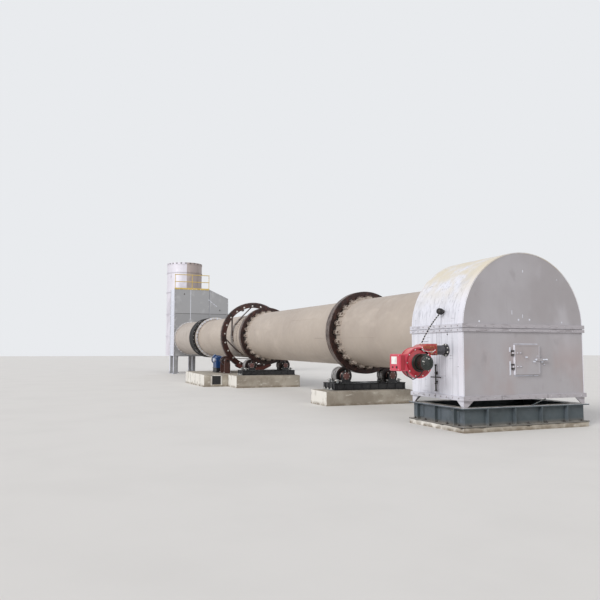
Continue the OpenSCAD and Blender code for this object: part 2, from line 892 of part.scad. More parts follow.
module hood_door() {
    pin_r = hinge_pin_d / 2;
    color([0.55, 0.54, 0.52]) {
        block([hood_x1 + fit_gap, -door_w / 2, door_z - door_h / 2],
            [hood_x1 + fit_gap + door_t, door_w / 2, door_z + door_h / 2]);
        for (side = [-1, 1]) translate([0, 0, door_z + side * door_h * hinge_share]) {
            knuckle(-hinge_h / 6, hinge_h / 6, pin_r + fit_gap);
            difference() {
                block([hinge_x - hinge_r / 2, hinge_y, -hinge_h / 6],
                    [hinge_x + hinge_r / 2, -door_w / 2, hinge_h / 6]);
                translate([hinge_x, hinge_y, -hinge_h]) cylinder(h = 2 * hinge_h, r = hinge_r);
            }
        }
        block([hood_x1 + fit_gap + door_t, door_w / 2 - latch_l / 2, door_z - latch_t],
            [hood_x1 + fit_gap + door_t + latch_t, door_w / 2 + latch_l, door_z + latch_t]);
    }
}

module door_hinges() {
    color([0.25, 0.25, 0.25]) for (side = [-1, 1]) translate([0, 0, door_z + side * door_h * hinge_share]) {
        translate([hinge_x, hinge_y, -hinge_h / 2]) cylinder(h = hinge_h, r = hinge_pin_d / 2);
        for (end = [0, 1]) mirror([0, 0, end]) difference() {
            union() {
                translate([hinge_x, hinge_y, hinge_h / 6 + hinge_play])
                    cylinder(h = hinge_h / 3 - hinge_play, r = hinge_r);
                block([hood_x1, hinge_y - 2 * hinge_r, hinge_h / 6 + hinge_play],
                    [hinge_x, hinge_y, hinge_h / 2]);
            }
            translate([hinge_x, hinge_y, 0]) cylinder(h = hinge_h, r = hinge_pin_d / 2);
        }
    }
}

// Burner on the hood's left wall, firing across the hood

burner_frame_y = -hood_r;

module rod_out(y0, y1, r) {
    translate([0, -y0, 0]) rotate([90, 0, 0]) cylinder(h = y1 - y0, r = r);
}

module burner_frame() {
    translate([burner_x, burner_frame_y, burner_z]) children();
}

flange_plate = 30;

module burner_tube() {
    color([0.24, 0.23, 0.24]) burner_frame() {
        rod_out(-hood_wall, tube_out, tube_r);
        rod_out(fit_gap, flange_plate, burner_flange_d / 2);
    }
}

housing_y = -tube_out - housing_l;
fan_x1 = housing_w / 2;

module burner_housing() {
    color([0.62, 0.09, 0.16]) burner_frame() {
        block([-housing_w / 2, housing_y, -tube_r], [housing_w / 2, -tube_out, housing_up]);
        translate([0, -fan_out, -fan_drop]) rod_x(fan_x1 - fan_w, fan_x1, fan_d / 2);
    }
}

module burner_motor() {
    color([0.1, 0.12, 0.1]) burner_frame() translate([fan_x1, -fan_out, -fan_drop]) {
        rod_x(0, fan_motor_l / 3, fan_motor_d / 2 + bolt_d);
        rod_x(fan_motor_l / 3, fan_motor_l, fan_motor_d / 2);
    }
}

module burner_control_box() {
    color([0.75, 0.22, 0.3]) burner_frame() difference() {
        block([-housing_w / 2, -control_out, -control_drop - control_h], [fan_x1, housing_y, -control_drop]);
        translate([0, -fan_out, -fan_drop])
            rod_x(fan_x1 - fan_w - fit_gap, fan_x1 + cut, fan_d / 2 + fit_gap);
    }
}

// Thermocouple on the arch with its conduit down to the burner, and the drop bolt on the wall

thermo_x = hood_x1 - thermo_back;
head_z = spring_z + thermo_rise;
head_off_share = 0.6;
head_y = -sqrt(hood_r * hood_r - thermo_rise * thermo_rise) - thermo_d * head_off_share;

// The neck ends on the round of the arch
module thermocouple_neck() {
    $fn = 360;
    translate([thermo_x, 0, head_z]) difference() {
        rod_out(hood_r / 2, -head_y, thermo_d / 4);
        translate([0, 0, -thermo_rise]) rod_x(-hood_l, hood_l, hood_r + fit_gap);
    }
}

module thermocouple() {
    color([0.5, 0.5, 0.5]) {
        thermocouple_neck();
        translate([thermo_x, head_y, head_z]) sphere(r = thermo_d / 2);
    }
}

// A round rod between two points
module rod_between(a, b, r) {
    reach = b - a;
    translate(a) rotate([0, acos(reach[2] / norm(reach)), atan2(reach[1], reach[0])])
        cylinder(h = norm(reach), r = r);
}

module conduit() {
    top = [thermo_x, head_y, head_z];
    foot = [burner_x, -hood_r - tube_out - housing_l / 2, burner_z];
    knee = (top + foot) / 2 + [0, -conduit_bulge, housing_up / 2];
    color([0.2, 0.2, 0.2]) difference() {
        union() {
            rod_between(top, knee, conduit_d / 2);
            translate(knee) sphere(r = conduit_d);
            rod_between(knee, foot, conduit_d / 2);
        }
        translate(top) sphere(r = thermo_d / 2 + fit_gap);
        translate(foot)
            block([-housing_w, -housing_w, -housing_w], [housing_w, housing_w, housing_up + fit_gap]);
    }
}

handle_share = 0.6;
handle_rise_share = 0.52;

module drop_bolt() {
    bolt_y = -hood_r - bolt_d;
    translate([hood_x1 - bolt_back, bolt_y, hood_z + bolt_rise]) color([0.4, 0.38, 0.36]) {
        cylinder(h = bolt_l, r = bolt_d / 2);
        translate([0, 0, bolt_l * handle_rise_share]) rotate([0, 90, 0])
            cylinder(h = bolt_l * handle_share, r = bolt_d / 3, center = true);
        block([-bolt_d, 0, bolt_l / 3], [bolt_d, bolt_d, bolt_l / 3 + bolt_d]);
        translate([-bolt_d, -bolt_d / 2, 0]) cube([2 * bolt_d, bolt_d, bolt_d / 2]);
    }
}

// Feed end: seal, collar, chamber, stack

chamber_x1 = -chamber_x;
chamber_x0 = chamber_x1 - chamber_l;
seal_x0 = chamber_x1 + collar_l;
collar_bore = shell_r + collar_gap;
collar_r = collar_bore + collar_plate;
chamber_y0 = -(collar_r + collar_flange_out + collar_edge);
chamber_y1 = chamber_y0 + chamber_w;
chamber_top = chamber_z + chamber_h;

module feed_seal() {
    color([0.06, 0.06, 0.06]) kiln_frame()
        ring_x(seal_x0 + fit_gap, seal_x0 + feed_seal_l, feed_seal_d / 2, shell_r + seal_gap);
}

module feed_collar() {
    color([0.7, 0.65, 0.58]) difference() {
        union() {
            kiln_frame() rod_x(chamber_x1 - chamber_wall, seal_x0, collar_r);
            translate([0, 0, axis_z(chamber_x1)])
                rod_x(chamber_x1, chamber_x1 + collar_flange_t, collar_r + collar_flange_out);
        }
        kiln_frame() rod_x(chamber_x0, seal_x0 + cut, collar_bore);
        block([chamber_x0, chamber_y0, 0], [chamber_x1, chamber_y1, chamber_top]);
    }
}

module chamber_outline(inset) {
    top = chamber_top - inset;
    polygon([[chamber_y0 + inset, chamber_z + inset], [chamber_y1 - inset, chamber_z + inset],
        [chamber_y1 - inset, top - shoulder_drop], [chamber_y1 - inset - shoulder_w, top],
        [chamber_y0 + inset, top]]);
}

module feed_front_wall() {
    color([0.57, 0.57, 0.57]) difference() {
        across(chamber_x1 - chamber_wall, chamber_wall) chamber_outline(0);
        kiln_frame() rod_x(chamber_x0, seal_x0, collar_bore);
    }
}

stack_r = stack_d / 2;
stack_x = chamber_x0 - neck_l - stack_r;
neck_z0 = chamber_z + neck_rise;

// The duct from the chamber to the stack, drawn in by an inset
module neck_block(inset, x0, x1) {
    block([x0, stack_side - neck_w / 2 + inset, neck_z0 + inset],
        [x1, stack_side + neck_w / 2 - inset, neck_z0 + neck_h - inset]);
}

module feed_back_wall() {
    color([0.57, 0.57, 0.57]) difference() {
        across(chamber_x0, chamber_wall) chamber_outline(0);
        neck_block(stack_wall, chamber_x0 - cut, chamber_x1);
    }
}

module chamber_tube() {
    difference() {
        across(chamber_x0 + chamber_wall, chamber_l - 2 * chamber_wall) chamber_outline(0);
        across(chamber_x0, chamber_l) chamber_outline(chamber_wall);
    }
}

// Height at which the side walls end and the roof begins
eaves_z = chamber_top - shoulder_drop - chamber_wall;

module feed_side_walls() {
    color([0.6, 0.6, 0.6]) intersection() {
        chamber_tube();
        block([chamber_x0, chamber_y0, 0], [chamber_x1, chamber_y1, eaves_z]);
    }
}

module feed_roof() {
    color([0.6, 0.6, 0.6]) intersection() {
        chamber_tube();
        block([chamber_x0, chamber_y0, eaves_z], [chamber_x1, chamber_y1, chamber_top]);
    }
}

module feed_stack() {
    color([0.78, 0.77, 0.77]) difference() {
        translate([stack_x, stack_side, chamber_z + stack_wall])
            cylinder(h = chamber_h - stack_wall + stack_h, r = stack_r);
        translate([stack_x, stack_side, chamber_z])
            cylinder(h = chamber_h + stack_h + cut, r = stack_r - stack_wall);
        neck_block(stack_wall, stack_x, chamber_x0);
    }
}

module stack_floor() {
    color([0.6, 0.6, 0.6]) translate([stack_x, stack_side, chamber_z]) cylinder(h = stack_wall, r = stack_r);
}

module stack_neck() {
    $fn = 360;
    color([0.6, 0.6, 0.6]) difference() {
        neck_block(0, stack_x, chamber_x0);
        neck_block(stack_wall, stack_x - cut, chamber_x0 + cut);
        translate([stack_x, stack_side, chamber_z]) cylinder(h = chamber_h, r = stack_r + fit_gap);
    }
}

module leg(x, y) {
    block([x, y, 0], [x + leg_side, y + leg_side, chamber_z]);
}

module feed_legs() {
    color([0.7, 0.7, 0.68]) {
        for (x = [chamber_x0, chamber_x1 - leg_side]) for (y = [chamber_y0, chamber_y1 - leg_side]) leg(x, y);
        for (x = [-1, 1]) for (y = [-1, 1])
            leg(stack_x + x * stack_r / 2 - leg_side / 2, stack_side + y * stack_r / 2 - leg_side / 2);
    }
}

rail_post_share = 0.8;

module roof_rail() {
    rail_r = rail_d / 2;
    y0 = chamber_y0 + rail_r;
    y1 = chamber_y1 - shoulder_w - rail_r;
    color([0.75, 0.6, 0.15]) {
        for (y = [y0, (y0 + y1) / 2, y1]) translate([chamber_x1 - rail_r, y, chamber_top])
            cylinder(h = rail_h, r = rail_r * rail_post_share);
        for (z = [rail_h / 2, rail_h]) translate([chamber_x1 - rail_r, y1 + rail_r, chamber_top + z])
            rotate([90, 0, 0]) cylinder(h = y1 - y0 + 2 * rail_r, r = rail_r);
        block([chamber_x1, y0, chamber_top - toe_h / 2], [chamber_x1 + toe_t, y1, chamber_top + toe_h / 2]);
    }
}

shell_discharge();
shell_middle();
shell_feed();
lining_discharge();
lining_middle();
lining_feed();
tyre(0);  // tyre_discharge
tyre(-tyre_span);  // tyre_feed
tyre_pads();
girth_gear();
gear_springs();
shell_band();
feed_end_flange();
roller(0, -1);  // roller_discharge_left
roller(0, 1);  // roller_discharge_right
roller(-tyre_span, -1);  // roller_feed_left
roller(-tyre_span, 1);  // roller_feed_right
bearing_set(0);  // roller_bearings_discharge
bearing_set(-tyre_span);  // roller_bearings_feed
roller_frame(0);  // roller_frame_discharge
roller_frame(-tyre_span);  // roller_frame_feed
pier_discharge();
pier_feed();
pinion();
pinion_bearings();
reducer();
drive_motor();
drive_pier();
gear_guard();
hood_arch();
hood_sides();
hood_front_wall();
hood_back_wall();
hood_seam_band();
hood_foot_flange();
hood_legs();
hood_seal();
hood_base_frame();
hood_plinth();
hood_door();
door_hinges();
burner_tube();
burner_housing();
burner_motor();
burner_control_box();
thermocouple();
conduit();
drop_bolt();
feed_seal();
feed_collar();
feed_front_wall();
feed_back_wall();
feed_side_walls();
feed_roof();
feed_legs();
feed_stack();
stack_floor();
stack_neck();
roof_rail();
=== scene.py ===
import json
import math
import random

import bmesh
import bpy
from mathutils import Matrix, Vector


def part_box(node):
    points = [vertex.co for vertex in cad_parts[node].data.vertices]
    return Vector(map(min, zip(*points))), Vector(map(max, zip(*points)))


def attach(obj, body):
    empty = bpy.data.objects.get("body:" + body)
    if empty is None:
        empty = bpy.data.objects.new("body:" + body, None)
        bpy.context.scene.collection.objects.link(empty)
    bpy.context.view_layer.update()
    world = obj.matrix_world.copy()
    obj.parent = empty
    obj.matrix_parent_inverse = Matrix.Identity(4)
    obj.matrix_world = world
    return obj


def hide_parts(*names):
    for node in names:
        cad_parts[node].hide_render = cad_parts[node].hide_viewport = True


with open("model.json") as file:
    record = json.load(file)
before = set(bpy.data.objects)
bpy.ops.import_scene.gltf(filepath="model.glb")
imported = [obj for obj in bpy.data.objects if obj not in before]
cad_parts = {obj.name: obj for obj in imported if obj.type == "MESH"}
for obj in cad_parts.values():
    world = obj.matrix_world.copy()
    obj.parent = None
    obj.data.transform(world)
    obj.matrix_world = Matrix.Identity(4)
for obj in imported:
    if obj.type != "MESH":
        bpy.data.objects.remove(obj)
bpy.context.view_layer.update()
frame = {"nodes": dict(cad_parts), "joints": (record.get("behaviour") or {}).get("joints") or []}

# The look of a rotary kiln with a silver discharge hood. Metres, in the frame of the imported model.

X_AXIS = Vector((1, 0, 0))
Y_AXIS = Vector((0, 1, 0))
Z_AXIS = Vector((0, 0, 1))

# Meshes


def spin_matrix(direction):
    """A turn that takes +X to a direction, keeping local +Z as upright as it can be."""
    x = Vector(direction).normalized()
    up = Z_AXIS if abs(x.z) < 0.99 else Y_AXIS
    y = up.cross(x).normalized()
    z = x.cross(y)
    return Matrix((x, y, z)).transposed().to_4x4()


class Piece:
    """Collects solids into one mesh, in the coordinates of a place, and makes one object of them."""

    def __init__(self, place=None):
        self.place = place or Matrix.Identity(4)
        self.points = []
        self.faces = []
        self.finishes = []
        self.finish = 0

    def add(self, points, faces, at=None):
        move = self.place @ at if at is not None else self.place
        first = len(self.points)
        self.points += [move @ Vector(p) for p in points]
        self.faces += [[first + i for i in face] for face in faces]
        self.finishes += [self.finish] * len(faces)

    def block(self, low, high, edge=0.0, at=None):
        """A box with chamfered edges."""
        low, high = Vector(low), Vector(high)
        centre = (low + high) / 2
        half = (high - low) / 2
        edge = min(edge, min(half) * 0.45)
        if edge <= 0:
            points = [centre + Vector((sx * half.x, sy * half.y, sz * half.z))
                      for sx in (-1, 1) for sy in (-1, 1) for sz in (-1, 1)]
            faces = [(0, 1, 3, 2), (4, 6, 7, 5), (0, 4, 5, 1), (2, 3, 7, 6), (0, 2, 6, 4), (1, 5, 7, 3)]
            self.add(points, faces, at)
            return
        index = {}
        points = []
        signs = [(sx, sy, sz) for sx in (-1, 1) for sy in (-1, 1) for sz in (-1, 1)]
        for s in signs:
            for axis in range(3):
                offset = [s[k] * (half[k] - (0 if k == axis else edge)) for k in range(3)]
                index[s, axis] = len(points)
                points.append(centre + Vector(offset))
        faces = []
        for axis in range(3):
            others = [k for k in range(3) if k != axis]
            for side in (-1, 1):
                ring = []
                for a, b in ((-1, -1), (1, -1), (1, 1), (-1, 1)):
                    s = [0, 0, 0]
                    s[axis], s[others[0]], s[others[1]] = side, a, b
                    ring.append(index[tuple(s), axis])
                faces.append(ring)
        for m in range(3):
            k, l = [n for n in range(3) if n != m]
            for a in (-1, 1):
                for b in (-1, 1):
                    s = [0, 0, 0]
                    s[k], s[l] = a, b
                    low_s, high_s = list(s), list(s)
                    low_s[m], high_s[m] = -1, 1
                    low_s, high_s = tuple(low_s), tuple(high_s)
                    faces.append([index[low_s, k], index[high_s, k], index[high_s, l], index[low_s, l]])
        for s in signs:
            faces.append([index[s, 0], index[s, 1], index[s, 2]])
        self.add(points, [self.outward(points, f, centre) for f in faces], at)

    @staticmethod
    def outward(points, face, centre):
        a, b, c = (points[i] for i in face[:3])
        normal = (b - a).cross(c - a)
        middle = sum((points[i] for i in face), Vector()) / len(face)
        return list(face) if normal.dot(middle - centre) > 0 else list(reversed(face))

    def lathe(self, profile, sides=48, closed=False, at=None, arc=None):
        """Turns (x, radius) points about the local X axis. A closed profile makes a ring."""
        points = []
        faces = []
        whole = arc is None
        steps = sides if whole else sides + 1
        sweep = 2 * math.pi if whole else arc[1] - arc[0]
        begin = 0 if whole else arc[0]
        for step in range(steps):
            angle = begin + sweep * step / sides
            points += [Vector((x, r * math.cos(angle), r * math.sin(angle))) for x, r in profile]
        count = len(profile)
        last = count if closed else count - 1
        for step in range(sides):
            here, there = step * count, (step + 1) % steps * count
            for i in range(last):
                j = (i + 1) % count
                if profile[i][1] == 0 and profile[j][1] == 0:
                    continue
                if profile[i][1] == 0:
                    faces.append((here + i, here + j, there + j))
                elif profile[j][1] == 0:
                    faces.append((here + i, here + j, there + i))
                else:
                    faces.append((here + i, here + j, there + j, there + i))
        if not whole and closed:
            faces.append(list(range(count)))
            faces.append(list(reversed(range((steps - 1) * count, steps * count))))
        self.add(points, faces, at)

    def rod(self, a, b, radius, edge=0.0, sides=24, end_radius=None):
        """A round bar from a to b with chamfered ends."""
        a, b = Vector(a), Vector(b)
        length = (b - a).length
        end_radius = radius if end_radius is None else end_radius
        edge = min(edge, length * 0.4, radius * 0.6)
        profile = [(0, 0), (0, radius - edge)]
        if edge > 0:
            profile += [(edge, radius), (length - edge, end_radius)]
        profile += [(length, end_radius - edge), (length, 0)]
        self.lathe(profile, sides, at=Matrix.Translation(a) @ spin_matrix(b - a))

    def ring(self, a, b, outer, inner, edge=0.0, sides=64):
        """A tube from a to b with chamfered rims."""
        a, b = Vector(a), Vector(b)
        length = (b - a).length
        e = min(edge, length * 0.4, (outer - inner) * 0.4)
        if e > 0:
            profile = [(0, inner), (0, outer - e), (e, outer), (length - e, outer), (length, outer - e),
                       (length, inner)]
        else:
            profile = [(0, inner), (0, outer), (length, outer), (length, inner)]
        self.lathe(profile, sides, closed=True, at=Matrix.Translation(a) @ spin_matrix(b - a))

    def bolt(self, place, direction, size, washer=True, stud=False):
        """A hexagon head on a washer. The size is the width across the flats."""
        at = Matrix.Translation(Vector(place)) @ spin_matrix(direction)
        radius = size / math.sqrt(3)
        head = size * 0.62
        start = 0.0
        if washer:
            start = size * 0.12
            self.lathe([(0, 0), (0, size * 0.85), (start, size * 0.85), (start, 0)], 14, at=at)
        self.lathe([(start, 0), (start, radius), (start + head * 0.8, radius), (start + head, radius * 0.8),
                    (start + head, 0)], 6, at=at)
        if stud:
            self.lathe([(start + head, 0), (start + head, size * 0.3), (start + head * 1.6, size * 0.3),
                        (start + head * 1.7, size * 0.24), (start + head * 1.7, 0)], 10, at=at)

    def ball(self, centre, radius, sides=20, squash=(1, 1, 1)):
        rows = sides // 2
        profile = [(-math.cos(math.pi * i / rows) * radius, math.sin(math.pi * i / rows) * radius)
                   for i in range(rows + 1)]
        profile[0] = (-radius, 0)
        profile[-1] = (radius, 0)
        self.lathe(profile, sides, at=Matrix.Translation(Vector(centre)) @ Matrix.Diagonal((*squash, 1)))

    def slab(self, outline, x0, x1, edge=0.0, at=None):
        """Extrudes an outline of (y, z) points from x0 to x1, with its rims drawn in by edge."""
        count = len(outline)
        area = sum(outline[i][0] * outline[(i + 1) % count][1] - outline[(i + 1) % count][0] * outline[i][1]
                   for i in range(count))
        if area < 0:
            outline = list(reversed(outline))
        flat = [Vector((y, z)) for y, z in outline]
        inner = []
        for i in range(count):
            before = (flat[i] - flat[i - 1]).normalized()
            after = (flat[(i + 1) % count] - flat[i]).normalized()
            n1, n2 = Vector((-before.y, before.x)), Vector((-after.y, after.x))
            total = n1 + n2
            scale = 2 / max(0.4, total.length_squared)
            inner.append(flat[i] + total * (edge * scale))
        rows = [(x0, flat), (x1, flat)] if edge <= 0 else \
            [(x0, inner), (x0 + edge, flat), (x1 - edge, flat), (x1, inner)]
        points = [Vector((x, p.x, p.y)) for x, row in rows for p in row]
        faces = [list(reversed(range(count))), list(range((len(rows) - 1) * count, len(rows) * count))]
        for r in range(len(rows) - 1):
            for i in range(count):
                j = (i + 1) % count
                faces.append((r * count + i, r * count + j, (r + 1) * count + j, (r + 1) * count + i))
        self.add(points, faces, at)

    def tube(self, path, radius, sides=10):
        """A round tube along a smooth path."""
        path = [Vector(p) for p in path]
        forward = (path[1] - path[0]).normalized()
        side = forward.orthogonal().normalized()
        points = []
        for i, p in enumerate(path):
            ahead = path[min(i + 1, len(path) - 1)] - path[max(i - 1, 0)]
            ahead.normalize()
            side = (side - ahead * side.dot(ahead)).normalized()
            other = ahead.cross(side)
            for k in range(sides):
                angle = 2 * math.pi * k / sides
                points.append(p + (side * math.cos(angle) + other * math.sin(angle)) * radius)
        faces = []
        for i in range(len(path) - 1):
            for k in range(sides):
                n = (k + 1) % sides
                faces.append((i * sides + k, i * sides + n, (i + 1) * sides + n, (i + 1) * sides + k))
        faces.append(list(reversed(range(sides))))
        faces.append(list(range((len(path) - 1) * sides, len(path) * sides)))
        self.add(points, faces)

    def weld(self, path, size, seed=1):
        """A weld bead with a slightly uneven width along a path."""
        rng = random.Random(seed)
        path = [Vector(p) for p in path]
        beads = []
        for i in range(len(path) - 1):
            steps = max(1, int((path[i + 1] - path[i]).length / (size * 2.5)))
            beads += [path[i].lerp(path[i + 1], k / steps) for k in range(steps)]
        beads.append(path[-1])
        wobble = [p + Vector((rng.uniform(-1, 1), rng.uniform(-1, 1), rng.uniform(-1, 1))) * size * 0.12 for p in beads]
        self.tube(wobble, size, 6)

    def done(self, name, body, slot, *materials, replaces=(), angle=35):
        mesh = bpy.data.meshes.new(name)
        mesh.from_pydata(self.points, [], self.faces)
        mesh.polygons.foreach_set("material_index", self.finishes)
        clean = bmesh.new()
        clean.from_mesh(mesh)
        bmesh.ops.recalc_face_normals(clean, faces=clean.faces)
        clean.to_mesh(mesh)
        clean.free()
        mesh.shade_smooth()
        mesh.set_sharp_from_angle(angle=math.radians(angle))
        for material in materials:
            mesh.materials.append(material)
        obj = bpy.data.objects.new(name, mesh)
        bpy.context.scene.collection.objects.link(obj)
        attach(obj, body)
        if replaces:
            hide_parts(*replaces)
        return obj


def arc_points(radius, start, end, steps, centre=(0, 0)):
    """Points along an arc, in degrees, in a plane."""
    return [(centre[0] + radius * math.cos(math.radians(start + (end - start) * i / steps)),
             centre[1] + radius * math.sin(math.radians(start + (end - start) * i / steps))) for i in range(steps + 1)]


# Materials


def linear(colour):
    """A colour written as 0 to 255 screen values, as the shader needs it."""
    def channel(v):
        v /= 255
        return v / 12.92 if v <= 0.04045 else ((v + 0.055) / 1.055) ** 2.4
    return (*[channel(v) for v in colour], 1.0)


class Paint:
    """Builds one procedural material in the frame's own coordinates."""

    def __init__(self, name, colour, roughness=0.5, metallic=0.0, place=None):
        self.material = bpy.data.materials.new(name)
        self.material.use_nodes = True
        self.nodes = self.material.node_tree.nodes
        self.links = self.material.node_tree.links
        self.shader = self.nodes["Principled BSDF"]
        self.shader.inputs["Roughness"].default_value = roughness
        self.shader.inputs["Metallic"].default_value = metallic
        self.coords = self.nodes.new("ShaderNodeTexCoord")
        self.where = self.coords.outputs["Object"]
        if place is not None:
            mapping = self.nodes.new("ShaderNodeMapping")
            inverse = place.inverted()
            mapping.inputs["Location"].default_value = inverse.translation
            mapping.inputs["Rotation"].default_value = inverse.to_euler()
            self.links.new(self.where, mapping.inputs["Vector"])
            self.where = mapping.outputs["Vector"]
        self.colour = None
        self.base = linear(colour)
        self.height = None

    def stretched(self, stretch):
        mapping = self.nodes.new("ShaderNodeMapping")
        mapping.inputs["Scale"].default_value = stretch
        self.links.new(self.where, mapping.inputs["Vector"])
        return mapping.outputs["Vector"]

    def noise(self, scale, stretch=(1, 1, 1), detail=4.0, rough=0.55, distortion=0.0):
        node = self.nodes.new("ShaderNodeTexNoise")
        node.inputs["Scale"].default_value = scale
        node.inputs["Detail"].default_value = detail
        node.inputs["Roughness"].default_value = rough
        node.inputs["Distortion"].default_value = distortion
        self.links.new(self.stretched(stretch), node.inputs["Vector"])
        return node.outputs["Fac"]

    def cells(self, scale, stretch=(1, 1, 1), feature="F1"):
        node = self.nodes.new("ShaderNodeTexVoronoi")
        node.feature = feature
        node.inputs["Scale"].default_value = scale
        self.links.new(self.stretched(stretch), node.inputs["Vector"])
        return node.outputs["Distance"]

    def axis(self, which):
        split = self.nodes.new("ShaderNodeSeparateXYZ")
        self.links.new(self.where, split.inputs["Vector"])
        return split.outputs[which]

    def normal(self, which):
        split = self.nodes.new("ShaderNodeSeparateXYZ")
        self.links.new(self.coords.outputs["Normal"], split.inputs["Vector"])
        return split.outputs[which]

    def span(self, value, low, high, to_low=0.0, to_high=1.0):
        """Maps a value from low..high to 0..1, clamped."""
        node = self.nodes.new("ShaderNodeMapRange")
        node.interpolation_type = "SMOOTHSTEP"
        node.inputs["From Min"].default_value = low
        node.inputs["From Max"].default_value = high
        node.inputs["To Min"].default_value = to_low
        node.inputs["To Max"].default_value = to_high
        self.links.new(value, node.inputs["Value"])
        return node.outputs["Result"]

    def math(self, operation, a, b=None):
        node = self.nodes.new("ShaderNodeMath")
        node.operation = operation
        for socket, value in zip(node.inputs, (a, b)):
            if value is None:
                continue
            if isinstance(value, (int, float)):
                socket.default_value = value
            else:
                self.links.new(value, socket)
        return node.outputs[0]

    def over(self, colour, amount, blend="MIX"):
        """Lays a colour over what is there, by an amount socket."""
        node = self.nodes.new("ShaderNodeMix")
        node.data_type = "RGBA"
        node.blend_type = blend
        node.inputs[7].default_value = linear(colour)
        if self.colour is None:
            node.inputs[6].default_value = self.base
        else:
            self.links.new(self.colour, node.inputs[6])
        self.links.new(amount, node.inputs[0])
        self.colour = node.outputs[2]
        return self

    def rough(self, value, low, high):
        self.links.new(self.span(value, 0.3, 0.7, low, high), self.shader.inputs["Roughness"])
        return self

    def bump(self, height, depth, strength=1.0):
        """Adds a bump of a depth in metres."""
        node = self.nodes.new("ShaderNodeBump")
        node.inputs["Distance"].default_value = depth
        node.inputs["Strength"].default_value = strength
        self.links.new(height, node.inputs["Height"])
        if self.height is not None:
            self.links.new(self.height, node.inputs["Normal"])
        self.height = node.outputs["Normal"]
        return self

    def done(self):
        if self.colour is not None:
            self.links.new(self.colour, self.shader.inputs["Base Color"])
        else:
            self.shader.inputs["Base Color"].default_value = self.base
        if self.height is not None:
            self.links.new(self.height, self.shader.inputs["Normal"])
        return self.material


# Places in the frame

joints = {joint["name"]: joint for joint in frame["joints"]}
kiln_joint = joints["kiln_turn"]
kiln_axis = Vector(kiln_joint["axis"]).normalized()
kiln_place = Matrix.Translation(Vector(kiln_joint["pos_m"])) @ spin_matrix(kiln_axis)


def axis_z(x):
    """Height of the kiln axis at x."""
    start = Vector(kiln_joint["pos_m"])
    return start.z + (x - start.x) * kiln_axis.z / kiln_axis.x


# Finishes


def shell_finish():
    p = Paint("shell_paint", (173, 161, 149), 0.55, place=kiln_place)
    p.over((164, 152, 141), p.span(p.noise(0.55, (1, 1, 1), 3), 0.35, 0.7))
    p.over((182, 170, 158), p.span(p.noise(1.3, (0.5, 1, 1), 4), 0.52, 0.75))
    p.over((146, 132, 120), p.span(p.noise(14, (1, 0.3, 0.3), 5, 0.7), 0.66, 0.8))
    p.over((128, 112, 100), p.span(p.noise(60, (1, 1, 1), 2), 0.74, 0.8))
    p.rough(p.noise(6), 0.48, 0.68)
    p.bump(p.noise(1.1, detail=2), 0.006, 0.5)
    p.bump(p.noise(160, detail=2), 0.0004, 0.4)
    return p.done()


def brick_finish():
    p = Paint("fire_brick", (150, 120, 96), 0.9, place=kiln_place)
    p.over((98, 78, 66), p.span(p.noise(7), 0.4, 0.65))
    p.over((70, 60, 54), p.span(p.cells(5, (1, 1, 1), "DISTANCE_TO_EDGE"), 0.05, 0.0))
    p.bump(p.noise(30), 0.004, 0.8)
    return p.done()


def dark_steel(name, colour, rust, tread, place=None):
    """Dark oiled casting with rust and a polished band where a roller runs."""
    p = Paint(name, colour, 0.5, 0.35, place=place)
    p.over(rust, p.span(p.noise(9, detail=6), 0.45, 0.72))
    p.over((18, 14, 13), p.span(p.noise(3.5, detail=3), 0.5, 0.75))
    side = p.math("ABSOLUTE", p.normal(0))
    running = p.span(side, 0.5, 0.2)
    shine = p.math("MULTIPLY", running, p.span(p.noise(5, (6, 1, 1), 3), 0.36, 0.6))
    p.over(tread, shine)
    p.rough(p.noise(20), 0.34, 0.62)
    p.bump(p.noise(90, detail=3), 0.0006, 0.7)
    return p.done()


def gear_finish():
    p = Paint("gear_casting", (64, 36, 30), 0.5, 0.2, place=kiln_place)
    p.over((32, 20, 18), p.span(p.noise(4, detail=4), 0.42, 0.66))
    p.over((112, 58, 44), p.span(p.noise(11, detail=5), 0.56, 0.76))
    p.over((28, 20, 18), p.span(p.noise(30, detail=2), 0.62, 0.72))
    p.rough(p.noise(16), 0.3, 0.6)
    p.bump(p.noise(70, detail=3), 0.0008, 0.7)
    return p.done()


def plain_metal(name, colour, worn, dirt, roughness=0.5, metallic=0.0, grain=40.0):
    """Painted or bare metal with worn patches and dirt."""
    p = Paint(name, colour, roughness, metallic)
    p.over(worn, p.span(p.noise(grain * 0.35, detail=5), 0.56, 0.74))
    p.over(dirt, p.span(p.noise(grain * 0.18, detail=4, rough=0.65), 0.52, 0.78))
    p.rough(p.noise(grain), max(0.1, roughness - 0.1), min(1.0, roughness + 0.14))
    p.bump(p.noise(grain * 3, detail=2), 0.0003, 0.5)
    return p.done()


def concrete_finish():
    p = Paint("bare_concrete", (166, 158, 145), 0.9)
    p.over((140, 131, 118), p.span(p.noise(1.6, detail=5), 0.42, 0.66))
    p.over((196, 190, 178), p.span(p.noise(3.2, (1, 1, 2.5), 5), 0.56, 0.74))
    p.over((112, 102, 90), p.span(p.noise(9, (1, 1, 0.5), 6, 0.7), 0.6, 0.78))
    pores = p.span(p.cells(26), 0.16, 0.05)
    p.over((96, 88, 78), pores)
    # Faces towards −Y are painted paler in patches: painted light on the lit side.
    left = p.span(p.normal(1), -0.6, -0.9)
    p.over((216, 212, 204), p.math("MULTIPLY", left, p.span(p.noise(2.6, detail=5), 0.25, 0.5)))
    foot = p.math("MULTIPLY", p.span(p.axis(2), 0.12, 0.0), p.span(p.noise(5), 0.3, 0.6))
    p.over((120, 108, 92), foot)
    p.bump(p.noise(22, detail=6, rough=0.7), 0.006, 0.7)
    p.bump(pores, 0.003, 0.6)
    return p.done()


